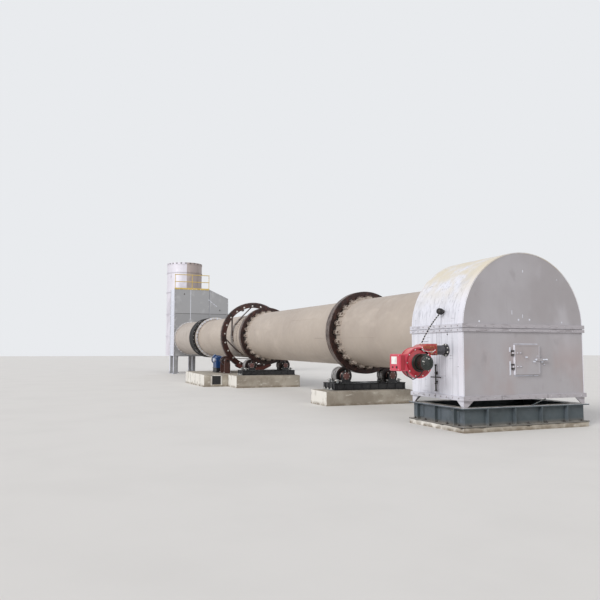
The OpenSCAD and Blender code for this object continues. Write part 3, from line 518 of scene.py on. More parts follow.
def silver_finish(name, colour, streak, warm_from, warm):
    """Aluminium paint brushed on steel plate: vertical streaks, dark specks, a warm tint higher up."""
    p = Paint(name, colour, 0.42, 0.18)
    streaks = p.span(p.noise(1.0, (22, 22, 0.9), 5, 0.65), 0.46, 0.72)
    p.over(streak, p.math("MULTIPLY", streaks, 0.75))
    p.over((186, 186, 192), p.span(p.noise(1.4, (1, 1, 0.6), 3), 0.5, 0.75))
    height = p.span(p.axis(2), warm_from, warm_from + 1.0)
    p.over(warm, p.math("MULTIPLY", height, p.span(p.noise(2.6, detail=4), 0.3, 0.62)))
    scratches = p.span(p.noise(1.0, (3, 3, 46), 3, 0.5, 0.4), 0.66, 0.7)
    p.over((120, 120, 126), p.math("MULTIPLY", scratches, p.span(p.noise(3.0), 0.5, 0.62)))
    specks = p.span(p.cells(34), 0.12, 0.06)
    p.over((70, 66, 64), p.math("MULTIPLY", specks, p.span(p.noise(2.2), 0.52, 0.6)))
    p.rough(p.noise(5, (3, 3, 0.6)), 0.34, 0.56)
    p.bump(p.noise(1.7, detail=2), 0.008, 0.45)
    p.bump(p.noise(1.0, (60, 60, 3), 3), 0.0006, 0.6)
    return p.done()


def front_shaded_finish():
    """The hood's front plate: mottled grey aluminium paint with brownish clouds and soft runs. Its grey is a darker
    copy of the hood's silver paint, as painted shade.
    """
    p = Paint("hood_front_shaded_paint", (161, 157, 159), 0.5, 0.12)
    p.over((151, 146, 147), p.span(p.noise(0.7, (1, 1, 0.8), 3, 0.5), 0.42, 0.66))
    p.over((169, 165, 168), p.span(p.noise(1.1, (1, 1, 0.6), 3), 0.5, 0.72))
    low = p.math("MULTIPLY", p.span(p.axis(2), 2.0, 1.2), p.span(p.noise(0.9, (1, 1, 0.6), 4), 0.4, 0.62))
    p.over((156, 143, 141), p.math("MULTIPLY", low, 0.8))
    p.over((138, 133, 134), p.math("MULTIPLY", p.span(p.noise(2.0, (1, 1.6, 0.9), 5), 0.6, 0.76), 0.55))
    runs = p.span(p.noise(1.0, (26, 26, 0.7), 5, 0.6), 0.58, 0.72)
    p.over((148, 144, 146), p.math("MULTIPLY", runs, 0.35))
    specks = p.span(p.cells(24), 0.1, 0.05)
    p.over((86, 80, 78), p.math("MULTIPLY", specks, p.span(p.noise(3.0), 0.6, 0.66)))
    # Faces turned sideways, the rims of the plate and the door, get the pale lit silver as a painted highlight. Higher
    # up they take the warm tint.
    edge = p.span(p.math("ABSOLUTE", p.normal(0)), 0.75, 0.45)
    p.over((222, 221, 228), edge)
    top = p.math("MULTIPLY", edge, p.span(p.axis(2), 2.4, 3.3))
    p.over((212, 202, 182), top)
    p.rough(p.noise(4), 0.42, 0.62)
    p.bump(p.noise(1.2, detail=2), 0.008, 0.4)
    p.bump(p.noise(70, detail=3), 0.0004, 0.5)
    return p.done()


def flange_finish():
    """Silver on the sides and the back as the lit copy. Faces towards +X get the front plate's darker grey as painted
    shade.
    """
    p = Paint("hood_flange_paint", (204, 203, 210), 0.45, 0.15)
    p.over((170, 169, 176), p.span(p.noise(5, (1, 1, 3), 4), 0.5, 0.74))
    # Faces towards +X are painted the darker grey: painted shade.
    front = p.span(p.normal(0), 0.5, 0.8)
    p.over((163, 158, 161), front)
    p.over((138, 132, 134), p.math("MULTIPLY", front, p.span(p.noise(3, (1, 1, 4), 4), 0.52, 0.7)))
    p.over((70, 66, 68), p.span(p.cells(30), 0.09, 0.04))
    p.rough(p.noise(8), 0.4, 0.6)
    p.bump(p.noise(60, detail=3), 0.0005, 0.5)
    return p.done()


def chamber_finish(name, front, side):
    """Grey paint on faces towards the kiln's ends, with a darker lower part. The other faces take the side colour,
    which where it is paler than the grey is painted light.
    """
    p = Paint(name, side, 0.5)
    facing = p.span(p.math("ABSOLUTE", p.normal(0)), 0.5, 0.8)
    p.over(front, facing)
    low = p.span(p.axis(2), 4.06, 4.02)
    p.over(tuple(v - 10 for v in front), p.math("MULTIPLY", facing, low))
    p.over(tuple(v + 12 for v in front), p.math("MULTIPLY", facing, p.span(p.noise(1.6, detail=4), 0.54, 0.7)))
    p.over((132, 126, 120), p.math("MULTIPLY", p.span(p.noise(2.4, (1, 1, 0.3), 5), 0.6, 0.76), 0.5))
    p.over((110, 98, 88), p.math("MULTIPLY", p.span(p.noise(9, detail=5), 0.68, 0.8), 0.6))
    p.rough(p.noise(7), 0.42, 0.62)
    p.bump(p.noise(1.5, detail=2), 0.006, 0.4)
    p.bump(p.noise(60, detail=2), 0.0004, 0.5)
    return p.done()


def stack_finish():
    """Pale cladding, with the half towards +Y painted brownish grey as painted shade."""
    p = Paint("stack_cladding", (214, 210, 217), 0.42, 0.2)
    p.over((196, 191, 198), p.span(p.noise(1.6, (1, 1, 0.4), 4), 0.48, 0.7))
    # The half towards +Y is painted darker, brownish grey: painted shade.
    p.over((168, 155, 150), p.span(p.axis(1), 0.015, 0.03))
    p.over((150, 137, 131), p.math("MULTIPLY", p.span(p.axis(1), 0.02, 0.03), p.span(p.noise(2.0, (1, 1, 0.4), 4), 0.5, 0.7)))
    p.over((128, 118, 116), p.math("MULTIPLY", p.span(p.noise(1.0, (14, 14, 0.8), 4), 0.6, 0.74), 0.4))
    p.rough(p.noise(6), 0.36, 0.58)
    p.bump(p.noise(1.8, detail=2), 0.006, 0.4)
    return p.done()


def base_finish():
    p = Paint("base_frame_paint", (84, 92, 98), 0.55)
    p.over((64, 71, 75), p.span(p.noise(2.2, detail=4), 0.42, 0.66))
    p.over((104, 113, 121), p.span(p.noise(3.5, (1, 1, 0.5), 4), 0.55, 0.74))
    # Faces towards +X are painted a darker slate: painted shade.
    p.over((58, 67, 69), p.math("MULTIPLY", p.span(p.normal(0), 0.5, 0.8), 0.7))
    dust = p.math("MULTIPLY", p.span(p.normal(2), 0.4, 0.8), p.span(p.noise(6), 0.3, 0.6))
    p.over((182, 176, 166), dust)
    p.over((66, 58, 52), p.span(p.noise(14, detail=5), 0.66, 0.78))
    p.over((128, 118, 106), p.math("MULTIPLY", p.span(p.axis(2), 0.2, 0.1), 0.5))
    p.rough(p.noise(9), 0.45, 0.7)
    p.bump(p.noise(60, detail=3), 0.0005, 0.5)
    return p.done()


def enamel(name, colour, light, dark, roughness=0.32):
    """Glossy enamel with a patchy painted highlight on upward faces, grime and fine orange peel."""
    p = Paint(name, colour, roughness)
    # Upward faces are painted lighter in patches: painted highlight.
    p.over(light, p.math("MULTIPLY", p.span(p.normal(2), 0.2, 0.9), p.span(p.noise(8), 0.25, 0.6)))
    p.over(dark, p.span(p.noise(7, detail=5), 0.56, 0.76))
    p.over((60, 46, 42), p.span(p.noise(38, detail=3), 0.7, 0.78))
    p.shader.inputs["Coat Weight"].default_value = 0.3
    p.shader.inputs["Coat Roughness"].default_value = 0.25
    p.bump(p.noise(120, detail=2), 0.0003, 0.4)
    return p.done()


def rubber_finish(name, colour):
    p = Paint(name, colour, 0.7)
    p.over(tuple(v + 22 for v in colour), p.span(p.noise(25, detail=4), 0.5, 0.75))
    p.bump(p.noise(140, detail=2), 0.0004, 0.6)
    return p.done()


SHELL = shell_finish()
BRICK = brick_finish()
TYRE = dark_steel("tyre_casting", (44, 27, 24), (74, 44, 36), (118, 106, 100), kiln_place)
ROLLER = dark_steel("roller_casting", (38, 33, 33), (82, 56, 50), (172, 170, 168))
ROLLER_END = plain_metal("roller_end_plate", (104, 70, 66), (128, 92, 84), (60, 42, 40), 0.55, 0.2)
GEAR = gear_finish()
RUSTY = plain_metal("rusty_bearing", (72, 44, 38), (104, 66, 54), (40, 26, 24), 0.6, 0.1)
PAD = plain_metal("pad_plate", (172, 160, 149), (200, 192, 182), (128, 114, 104), 0.5, 0.1, 60)
STOP = plain_metal("tyre_stop", (92, 78, 70), (150, 138, 128), (58, 44, 38), 0.5, 0.1, 60)
SPRING = plain_metal("spring_plate", (74, 56, 50), (104, 78, 68), (38, 28, 26), 0.5, 0.3)
BRIGHT = plain_metal("bright_bolt", (208, 205, 200), (236, 234, 230), (120, 104, 92), 0.3, 0.6, 80)
BLACK = plain_metal("oily_black", (34, 34, 36), (58, 56, 56), (20, 19, 19), 0.42, 0.1)
BEARING = plain_metal("bearing_grey", (140, 143, 142), (186, 188, 186), (70, 62, 56), 0.48, 0.1)
CONCRETE = concrete_finish()
# The hood's sides, arch and back get the silver paint as a lit copy, much paler than the front plate's copy: painted
# light.
SILVER_LIT = silver_finish("hood_silver_lit_paint", (222, 222, 229), (168, 168, 176), 2.3, (212, 202, 182))
FRONT_SHADED = front_shaded_finish()
FLANGE = flange_finish()
FLANGE_BOLT = plain_metal("flange_bolt", (168, 163, 165), (206, 204, 208), (116, 110, 112), 0.45, 0.1)
BASE = base_finish()
RED = enamel("crimson_enamel", (152, 12, 32), (204, 92, 84), (108, 10, 26))
# A pink, lit copy of the crimson enamel for the control box, the volute rims and the rear cover: painted light.
RED_LIT_COPY = enamel("red_enamel_lit_copy", (196, 56, 76), (226, 120, 130), (160, 32, 52))
TUBE_DARK = plain_metal("blast_tube_steel", (74, 73, 76), (104, 103, 106), (40, 38, 40), 0.38, 0.4)
RUBBER = rubber_finish("black_rubber", (26, 26, 27))
MOTOR_DARK = enamel("fan_motor_enamel", (24, 30, 26), (52, 60, 52), (14, 16, 15))
BLUE = enamel("drive_blue_enamel", (24, 62, 112), (50, 92, 142), (16, 40, 76))
PALE = plain_metal("pale_cap", (202, 204, 212), (224, 226, 232), (130, 124, 122), 0.4, 0.2)
PRIMER = plain_metal("red_primer", (92, 46, 38), (120, 66, 54), (54, 30, 26), 0.65)
SEAL = rubber_finish("seal_graphite", (22, 22, 24))
COLLAR = plain_metal("collar_paint", (170, 160, 151), (184, 175, 166), (150, 140, 131), 0.55, 0.0, 12)
CHAMBER = chamber_finish("chamber_grey_paint", (150, 150, 151), (150, 150, 151))
# The chamber's sides, roof and legs get a paler copy of the front grey as the lit side: painted light.
CHAMBER_LIT_SIDE = chamber_finish("chamber_lit_side_paint", (150, 150, 151), (214, 216, 226))
STACK_PAINT = stack_finish()
YELLOW = plain_metal("rail_yellow_paint", (196, 168, 84), (214, 190, 112), (136, 116, 60), 0.5)
DARK_IRON = plain_metal("dark_iron", (60, 56, 54), (92, 84, 78), (36, 32, 30), 0.55, 0.2)
CASTING = plain_metal("cast_valve_body", (150, 76, 52), (206, 168, 140), (90, 44, 34), 0.5, 0.1, 60)
CONCRETE_PALE = plain_metal("pale_concrete", (200, 196, 188), (216, 212, 206), (150, 142, 132), 0.85, 0.0, 9)
LABEL = plain_metal("blank_label", (232, 230, 226), (240, 238, 234), (206, 200, 192), 0.5)


def dress(material, *nodes):
    """Gives CAD nodes a material and keeps their shape."""
    for node in nodes:
        mesh = frame["nodes"][node].data
        mesh.materials.clear()
        mesh.materials.append(material)


dress(SHELL, "shell_discharge", "shell_middle", "shell_feed", "feed_end_flange")
dress(BRICK, "lining_discharge", "lining_middle", "lining_feed")
dress(TYRE, "tyre_discharge", "tyre_feed")
dress(PAD, "tyre_pads", "shell_band")
dress(GEAR, "girth_gear", "pinion")
dress(SPRING, "gear_springs")
dress(ROLLER, "roller_discharge_left", "roller_discharge_right", "roller_feed_left", "roller_feed_right")
dress(BEARING, "roller_bearings_discharge", "roller_bearings_feed")
dress(RUSTY, "pinion_bearings")
dress(BLACK, "roller_frame_discharge", "roller_frame_feed")
dress(CONCRETE, "pier_discharge", "pier_feed", "drive_pier", "hood_plinth")
dress(BLUE, "reducer", "drive_motor")
dress(PRIMER, "gear_guard")
dress(SILVER_LIT, "hood_arch", "hood_sides", "hood_back_wall")
dress(FRONT_SHADED, "hood_front_wall", "hood_door")
dress(FLANGE, "hood_seam_band", "hood_foot_flange", "hood_legs")
dress(DARK_IRON, "hood_seal", "door_hinges")
dress(BASE, "hood_base_frame")
dress(RED, "burner_housing")
dress(TUBE_DARK, "burner_tube")
dress(MOTOR_DARK, "burner_motor")
dress(RED_LIT_COPY, "burner_control_box")
dress(RUBBER, "conduit")
dress(DARK_IRON, "thermocouple", "drop_bolt")
dress(SEAL, "feed_seal")
dress(COLLAR, "feed_collar")
dress(CHAMBER, "feed_front_wall", "feed_back_wall")
dress(CHAMBER_LIT_SIDE, "feed_side_walls", "feed_roof", "feed_legs")
dress(STACK_PAINT, "feed_stack", "stack_floor", "stack_neck")
dress(YELLOW, "roof_rail")

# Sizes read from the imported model

hood_low, hood_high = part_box("hood_front_wall")
HOOD_X = hood_high.x
HOOD_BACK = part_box("hood_back_wall")[0].x
HOOD_R = hood_high.y
SPRING_Z = hood_high.z - HOOD_R
seam_low, seam_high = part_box("hood_seam_band")
foot_low, foot_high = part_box("hood_foot_flange")
HOOD_Z = foot_low.z
base_low, base_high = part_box("hood_base_frame")
door_low, door_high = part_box("hood_door")
DOOR_FACE = HOOD_X + 0.0483
tyre_low, tyre_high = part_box("tyre_discharge")
TYRE_R = (tyre_high.y - tyre_low.y) / 2
SHELL_R = 1.0


def station(node):
    """Where the middle of a node lies along the kiln axis."""
    low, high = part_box(node)
    middle = (low.x + high.x) / 2
    return (kiln_place.inverted() @ Vector((middle, 0, axis_z(middle)))).x


TYRES = (station("tyre_discharge"), station("tyre_feed"))


def spin(angle):
    """A turn about the local X axis, in degrees."""
    return Matrix.Rotation(math.radians(angle), 4, "X")


def around(count, radius, start=0.0):
    """Places round the local X axis, each with its local Z outwards."""
    return [spin(start + 360 * i / count) @ Matrix.Translation((0, 0, radius)) for i in range(count)]


# Kiln: welds, stops at the tyres, bolts

TYRE_HALF = 0.135
PAD_N = 24
PAD_HALF = 0.4


def kiln_welds():
    p = Piece(kiln_place)
    rng = random.Random(4)
    stations = [4.6, 2.45, -1.6, -3.9, -6.2, -8.1, -13.4, -15.7, -17.6]
    for x in stations:
        half = rng.uniform(0.008, 0.011)
        p.lathe([(x - half, SHELL_R - 0.004), (x - half * 0.5, SHELL_R + 0.0035), (x + half * 0.5, SHELL_R + 0.0035),
                 (x + half, SHELL_R - 0.004)], 120)
    ends = [5.0] + stations + [-18.2]
    for i in range(len(ends) - 1):
        angle = rng.uniform(0, 360)
        for turn in (0, 180):
            at = spin(angle + turn) @ Matrix.Translation((0, 0, SHELL_R))
            p.block((ends[i + 1], -0.008, -0.003), (ends[i], 0.008, 0.003), 0.002, at=at)
    p.done("shell_welds", "kiln", "shell_paint", SHELL, angle=50)


def tyre_stops():
    """Retaining blocks welded to the ends of the pads, dark as the painted shadow of the pad ends, and the wedges that
    hold the tyre.
    """
    dark, pale = Piece(kiln_place), Piece(kiln_place)
    for x in TYRES:
        for at in around(PAD_N, SHELL_R):
            for side in (-1, 1):
                end = x + side * PAD_HALF
                # The dark blocks at the pad ends stand in for the shadow lines there: painted shadow.
                dark.block((min(end, end - side * 0.05), -0.034, 0.058), (max(end, end - side * 0.05), 0.034, 0.094),
                           0.006, at=at)
                inner = x + side * (TYRE_HALF + 0.012)
                dark.block((min(inner, inner + side * 0.055), -0.05, 0.058),
                           (max(inner, inner + side * 0.055), 0.05, 0.108), 0.006, at=at)
                pale.block((min(inner + side * 0.055, end - side * 0.05), -0.012, 0.058),
                           (max(inner + side * 0.055, end - side * 0.05), 0.012, 0.082), 0.004, at=at)
    dark.done("tyre_stops", "kiln", "pad_steel", STOP)
    pale.done("pad_ribs", "kiln", "pad_steel", PAD)


GEAR_BOLTS = 22


def gear_bolts():
    x = station("girth_gear")
    bright, dark = Piece(kiln_place), Piece(kiln_place)
    for side in (-1, 1):
        face = x + side * 0.12
        for at in around(GEAR_BOLTS, 1.405, 4):
            bright.bolt(at @ Vector((face, 0, 0)), (side, 0, 0), 0.046)
        ring = [(face - 0.001, 1.336), (face + side * 0.022, 1.336), (face + side * 0.022, 1.372), (face - 0.001, 1.372)]
        dark.lathe(ring, 96, closed=True)
        ring = [(face - 0.001, 1.478), (face + side * 0.014, 1.478), (face + side * 0.014, 1.5), (face - 0.001, 1.5)]
        dark.lathe(ring, 96, closed=True)
    for turn in (24, 204):
        at = spin(turn)
        for across in (-1, 1):
            dark.block((x - 0.115, across * 0.012 - 0.01, 1.262), (x + 0.115, across * 0.012 + 0.01, 1.338), 0.004, at=at)
        for along in (-0.07, 0.0, 0.07):
            for across in (-1, 1):
                bright.bolt(at @ Vector((x + along, across * 0.022, 1.3)), at.to_3x3() @ Vector((0, across, 0)), 0.036)
    for i in range(8):
        at = spin(i * 45)
        for along in (-0.055, 0.055):
            for across in (-0.19, -0.11, -0.03):
                bright.bolt(at @ Vector((x + along, across, 1.0243)), at.to_3x3() @ Vector((0, 0, 1)), 0.026)
    bright.done("gear_bolts", "kiln", "gear_steel", BRIGHT)
    dark.done("gear_ribs", "kiln", "gear_steel", GEAR)


def band_rivets():
    x = station("shell_band")
    dark = Piece(kiln_place)
    for at in around(60, 1.022):
        place = at @ Vector((x, 0, 0))
        dark.lathe([(0, 0.016), (0.006, 0.014), (0.01, 0.008), (0.011, 0)], 10,
                   at=Matrix.Translation(place) @ spin_matrix(at.to_3x3() @ Vector((0, 0, 1))))
    dark.done("band_rivets", "kiln", "pad_steel", DARK_IRON)


def end_flange_bolts():
    x = station("feed_end_flange")
    bright, plate = Piece(kiln_place), Piece(kiln_place)
    for side in (-1, 1):
        for at in around(36, 1.095):
            bright.bolt(at @ Vector((x + side * 0.036, 0, 0)), (side, 0, 0), 0.056, stud=side > 0)
    for at in around(18, SHELL_R, 5):
        plate.slab([(-0.006, 0.0), (0.006, 0.0), (0.006, 0.105), (-0.006, 0.105)], x + 0.03, x + 0.045, at=at)
        points = [(x + 0.03, -0.006, 0), (x + 0.03, -0.006, 0.1), (x + 0.13, -0.006, 0),
                  (x + 0.03, 0.006, 0), (x + 0.03, 0.006, 0.1), (x + 0.13, 0.006, 0)]
        plate.add(points, [(0, 1, 2), (5, 4, 3), (0, 3, 4, 1), (1, 4, 5, 2), (2, 5, 3, 0)], at=at)
    bright.done("end_flange_bolts", "kiln", "shell_paint", BRIGHT)
    plate.done("end_flange_gussets", "kiln", "shell_paint", SHELL)
    face = Piece(kiln_place)
    for i in range(36):
        at = spin(5 + i * 10)
        face.block((x + 0.028, -0.055, 1.03), (x + 0.036, 0.055, 1.142), 0.003, at=at)
    face.done("end_flange_face", "kiln", "shell_paint", PALE)
    ring = Piece(kiln_place)
    for px, radius in ((4.98, 1.012), (x + 0.42, 1.01)):
        ring.lathe([(px - 0.03, SHELL_R - 0.002), (px - 0.03, radius), (px + 0.03, radius), (px + 0.03, SHELL_R - 0.002)], 96)
    ring.done("shell_straps", "kiln", "shell_paint", SHELL)

kiln_welds()
tyre_stops()
gear_bolts()
band_rivets()
end_flange_bolts()

# Rollers and their supports

ROLLER_R = 0.26
ROLLER_HALF = 0.17
BEARING_FROM = 0.21
BEARING_TO = 0.34


def roller_details(end, side):
    """Hub discs and keyed collars, which turn with the roller."""
    joint = joints["%s_%s_roller_turn" % (end, side)]
    place = Matrix.Translation(Vector(joint["pos_m"])) @ spin_matrix(joint["axis"])
    hub, dark = Piece(place), Piece(place)
    for s in (-1, 1):
        hub.lathe([(s * ROLLER_HALF, 0.062), (s * ROLLER_HALF, 0.128), (s * (ROLLER_HALF + 0.012), 0.122),
                   (s * (ROLLER_HALF + 0.03), 0.09), (s * (ROLLER_HALF + 0.034), 0.061)], 32, closed=True)
        for i in range(6):
            at = spin(i * 60)
            dark.bolt(at @ Vector((s * (ROLLER_HALF + 0.006), 0, 0.107)), (s, 0, 0), 0.022)
        dark.lathe([(s * ROLLER_HALF * 0.99, 0.205), (s * (ROLLER_HALF + 0.004), 0.212), (s * (ROLLER_HALF + 0.004), 0.238),
                    (s * ROLLER_HALF * 0.99, 0.245)], 40, closed=True)
    body = "roller_%s_%s" % (end, side)
    hub.done(body + "_hub", body, "roller_steel", ROLLER_END)
    dark.done(body + "_rim", body, "roller_steel", ROLLER)


def bearing_details(end):
    """Cap screws and end covers. The covers at the discharge side are rust brown, as in the photo."""
    grey, bolts, brown, black = Piece(), Piece(), Piece(), Piece()
    for side in ("left", "right"):
        joint = joints["%s_%s_roller_turn" % (end, side)]
        place = Matrix.Translation(Vector(joint["pos_m"])) @ spin_matrix(joint["axis"])
        for s in (-1, 1):
            front = s > 0
            body = black if front else grey
            outer = s * BEARING_TO
            x0, x1 = sorted((s * (BEARING_FROM - 0.004), outer + s * 0.006))
            body.slab([(-0.158, -0.2), (0.158, -0.2), (0.158, -0.155), (0.126, -0.14), (0.126, 0.0)]
                      + arc_points(0.126, 0, 180, 14)[1:-1] + [(-0.126, 0.0), (-0.126, -0.14), (-0.158, -0.155)],
                      x0, x1, 0.008, at=place)
            cover = brown if front else grey
            cover.lathe([(outer + s * 0.004, 0), (outer + s * 0.004, 0.108), (outer + s * 0.018, 0.104),
                         (outer + s * 0.024, 0.085), (outer + s * 0.024, 0.02), (outer + s * 0.03, 0)], 28, at=place)
            for i in range(6):
                at = spin(30 + i * 60)
                bolts.bolt(place @ at @ Vector((outer + s * 0.014, 0, 0.094)), place.to_3x3() @ Vector((s, 0, 0)), 0.02,
                           washer=False)
            for y in (-0.146, 0.146):
                middle = s * (BEARING_FROM + BEARING_TO) / 2
                for dx in (-0.035, 0.035):
                    bolts.bolt(place @ Vector((middle + dx, y, -0.152)), Z_AXIS, 0.026, stud=True)
            for y in (-0.113, 0.113):
                bolts.bolt(place @ Vector((s * (BEARING_FROM + BEARING_TO) / 2, y, 0.06)), Z_AXIS, 0.03, stud=True)
            grey.rod(place @ Vector((s * (BEARING_FROM + BEARING_TO) / 2, 0, 0.124)),
                     place @ Vector((s * (BEARING_FROM + BEARING_TO) / 2, 0, 0.165)), 0.014, 0.003, 12)
    grey.done("bearing_shells_" + end, "plant", "bearing_metal", BEARING)
    black.done("bearing_fronts_" + end, "plant", "bearing_metal", BLACK)
    brown.done("bearing_covers_" + end, "plant", "bearing_metal", ROLLER_END)
    bolts.done("bearing_bolts_" + end, "plant", "bearing_metal", BRIGHT)


def frame_details(end, x):
    """Flanges, stiffeners, anchor bolts and roller adjusters on a roller frame."""
    low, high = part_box("roller_frame_" + end)
    place = Matrix.Translation((0, 0, 0)) @ kiln_place
    z0 = (kiln_place.inverted() @ Vector((x, 0, low.z + 0.004))).z
    black, bolts, pale = Piece(place), Piece(place), Piece(place)
    half_l, half_w = 0.39, high.y
    top, bottom = -1.49, -1.69
    for y in (-1, 1):
        for s in (-1, 1):
            face = s * half_l
            a, b = sorted((x + face, x + face + s * 0.022))
            black.block((a, -half_w, bottom), (b, half_w, bottom + 0.02), 0.004)
            black.block((a, -half_w, top - 0.02), (b, half_w, top), 0.004)
    count = 9
    for i in range(count):
        y = -half_w + 0.06 + i * (2 * half_w - 0.12) / (count - 1)
        for s in (-1, 1):
            a, b = sorted((x + s * half_l, x + s * (half_l + 0.02)))
            black.block((a, y - 0.008, bottom + 0.02), (b, y + 0.008, top - 0.02), 0.0)
    for y in (-1, 1):
        for i in range(3):
            xx = x - 0.26 + 0.26 * i
            a, b = sorted((y * half_w, y * (half_w + 0.018)))
            black.block((xx - 0.01, a, bottom + 0.01), (xx + 0.01, b, top - 0.01), 0.0)
        a, b = sorted((y * half_w, y * (half_w + 0.06)))
        pale.block((x - 0.3, a, bottom + 0.004), (x + 0.3, b, bottom + 0.024), 0.004)
        for xx in (-0.24, 0.0, 0.24):
            bolts.bolt((x + xx, y * (half_w + 0.032), bottom + 0.024), (0, 0, 1), 0.04, stud=True)
        for xx in (-0.27, 0.27):
            pale.block((x + xx - 0.035, y * 1.02 - 0.03, top), (x + xx + 0.035, y * 1.02 + 0.03, top + 0.11), 0.008)
            bolts.rod((x + xx, y * 0.94, top + 0.07), (x + xx, y * 1.12, top + 0.07), 0.014, 0.003, 12)
            bolts.bolt((x + xx, y * 1.055, top + 0.07), (0, y, 0), 0.036)
    black.done("frame_flanges_" + end, "plant", "frame_black", BLACK)
    bolts.done("frame_bolts_" + end, "plant", "frame_black", BRIGHT)
    pale.done("frame_stops_" + end, "plant", "frame_black", BEARING)


for roller_end in ("discharge", "feed"):
    for roller_side in ("left", "right"):
        roller_details(roller_end, roller_side)
    bearing_details(roller_end)
frame_details("discharge", TYRES[0])
frame_details("feed", TYRES[1])


# Concrete


def cast_block(name, node, finish, seed, slot="concrete"):
    """A cast block in place of its plain CAD box: worn edges and chips. It keeps within the box."""
    low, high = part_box(node)
    slope = (axis_z(low.x) - axis_z(high.x)) / (high.x - low.x)
    fall = 0.0 if node == "hood_plinth" else slope
    rng = random.Random(seed)
    p = Piece()
    step = 0.09
    nx = max(2, int((high.x - low.x) / step))
    ny = max(2, int((high.y - low.y) / step))
    nz = max(2, int((high.z - low.z) / 0.06))
    top = high.z

    def top_at(x):
        return top - (x - low.x) * fall

    def worn(x, y, k, on_top):
        """Draws a point of the skin in where it lies on an edge."""
        fx = min(x - low.x, high.x - x)
        fy = min(y - low.y, high.y - y)
        z = low.z + (top_at(x) - low.z) * k
        fz = top_at(x) - z
        near = sum(1 for f in (fx, fy, fz) if f < 0.001)
        if near >= 2:
            deep = 0.008 + 0.012 * rng.random() ** 3
            if rng.random() < 0.06:
                deep += rng.uniform(0.015, 0.035)
            if fx < 0.001:
                x += deep if x - low.x < 0.001 else -deep
            if fy < 0.001:
                y += deep if y - low.y < 0.001 else -deep
            if fz < 0.001:
                z -= deep * 0.7
        else:
            bow = 0.003 * rng.random()
            if fx < 0.001:
                x += bow if x - low.x < 0.001 else -bow
            if fy < 0.001:
                y += bow if y - low.y < 0.001 else -bow
            if fz < 0.001:
                z -= bow
        return Vector((x, y, z))

    grid = {}
    points = []

    def at(i, j, k):
        key = (i, j, k)
        if key not in grid:
            grid[key] = len(points)
            points.append(worn(low.x + (high.x - low.x) * i / nx, low.y + (high.y - low.y) * j / ny, k / nz, k == nz))
        return grid[key]

    faces = []
    for j in range(ny):
        for k in range(nz):
            faces.append((at(0, j, k), at(0, j, k + 1), at(0, j + 1, k + 1), at(0, j + 1, k)))
            faces.append((at(nx, j, k), at(nx, j + 1, k), at(nx, j + 1, k + 1), at(nx, j, k + 1)))
    for i in range(nx):
        for k in range(nz):
            faces.append((at(i, 0, k), at(i + 1, 0, k), at(i + 1, 0, k + 1), at(i, 0, k + 1)))
            faces.append((at(i, ny, k), at(i, ny, k + 1), at(i + 1, ny, k + 1), at(i + 1, ny, k)))
        for j in range(ny):
            faces.append((at(i, j, nz), at(i + 1, j, nz), at(i + 1, j + 1, nz), at(i, j + 1, nz)))
            faces.append((at(i, j, 0), at(i, j + 1, 0), at(i + 1, j + 1, 0), at(i + 1, j, 0)))
    p.add(points, faces)
    return p.done(name, "plant", slot, finish, replaces=(node,), angle=40)


cast_block("pier_discharge_cast", "pier_discharge", CONCRETE, 3)
cast_block("pier_feed_cast", "pier_feed", CONCRETE, 5)
cast_block("drive_pier_cast", "drive_pier", CONCRETE, 7)
cast_block("hood_plinth_cast", "hood_plinth", CONCRETE, 9)

# Discharge hood


def hood_rim():
    """Weld beads that frame the front and back plates, a rib bead, and a patch, a rod and a plug on the side."""
    silver, dark = Piece(), Piece()
    for x, out in ((HOOD_X, 1), (HOOD_BACK, -1)):
        arch = [(-y, z) for y, z in arc_points(HOOD_R - 0.012, 0, 180, 72, (0, SPRING_Z))]
        path = [(x + out * 0.001, y, z) for y, z in arch]
        silver.weld(path, 0.006, 11)
        for y in (-1, 1):
            silver.weld([(x + out * 0.001, y * (HOOD_R - 0.012), HOOD_Z + 0.09),
                         (x + out * 0.001, y * (HOOD_R - 0.012), seam_low.z)], 0.006, 12)
    for y in (-1, 1):
        silver.weld([(HOOD_X - 0.15, y * (HOOD_R + 0.0005), HOOD_Z + 0.09),
                     (HOOD_X - 0.15, y * (HOOD_R + 0.0005), seam_low.z)], 0.0035, 13)
    rib = [(HOOD_X - 0.15, y, z) for y, z in arc_points(HOOD_R + 0.0005, 2, 178, 72, (0, SPRING_Z))]
    silver.weld(rib, 0.0035, 14)
    side = -HOOD_R
    for x0, x1, z0, z1 in ((5.575, 5.985, 2.14, 2.3),):
        silver.block((x0, side - 0.004, z0 - 0.2), (x1, side + 0.002, z1 - 0.2), 0.002)
    silver.rod((5.51, side - 0.004, 0.73), (5.70, side - 0.004, 0.73), 0.006, 0.002, 8)
    dark.rod((6.419, side + 0.02, 1.88), (6.419, side - 0.003, 1.88), 0.016, 0.002, 16)
    silver.done("hood_beads", "plant", "hood_silver", SILVER_LIT, angle=50)
    dark.done("hood_plugs", "plant", "hood_dark", DARK_IRON)


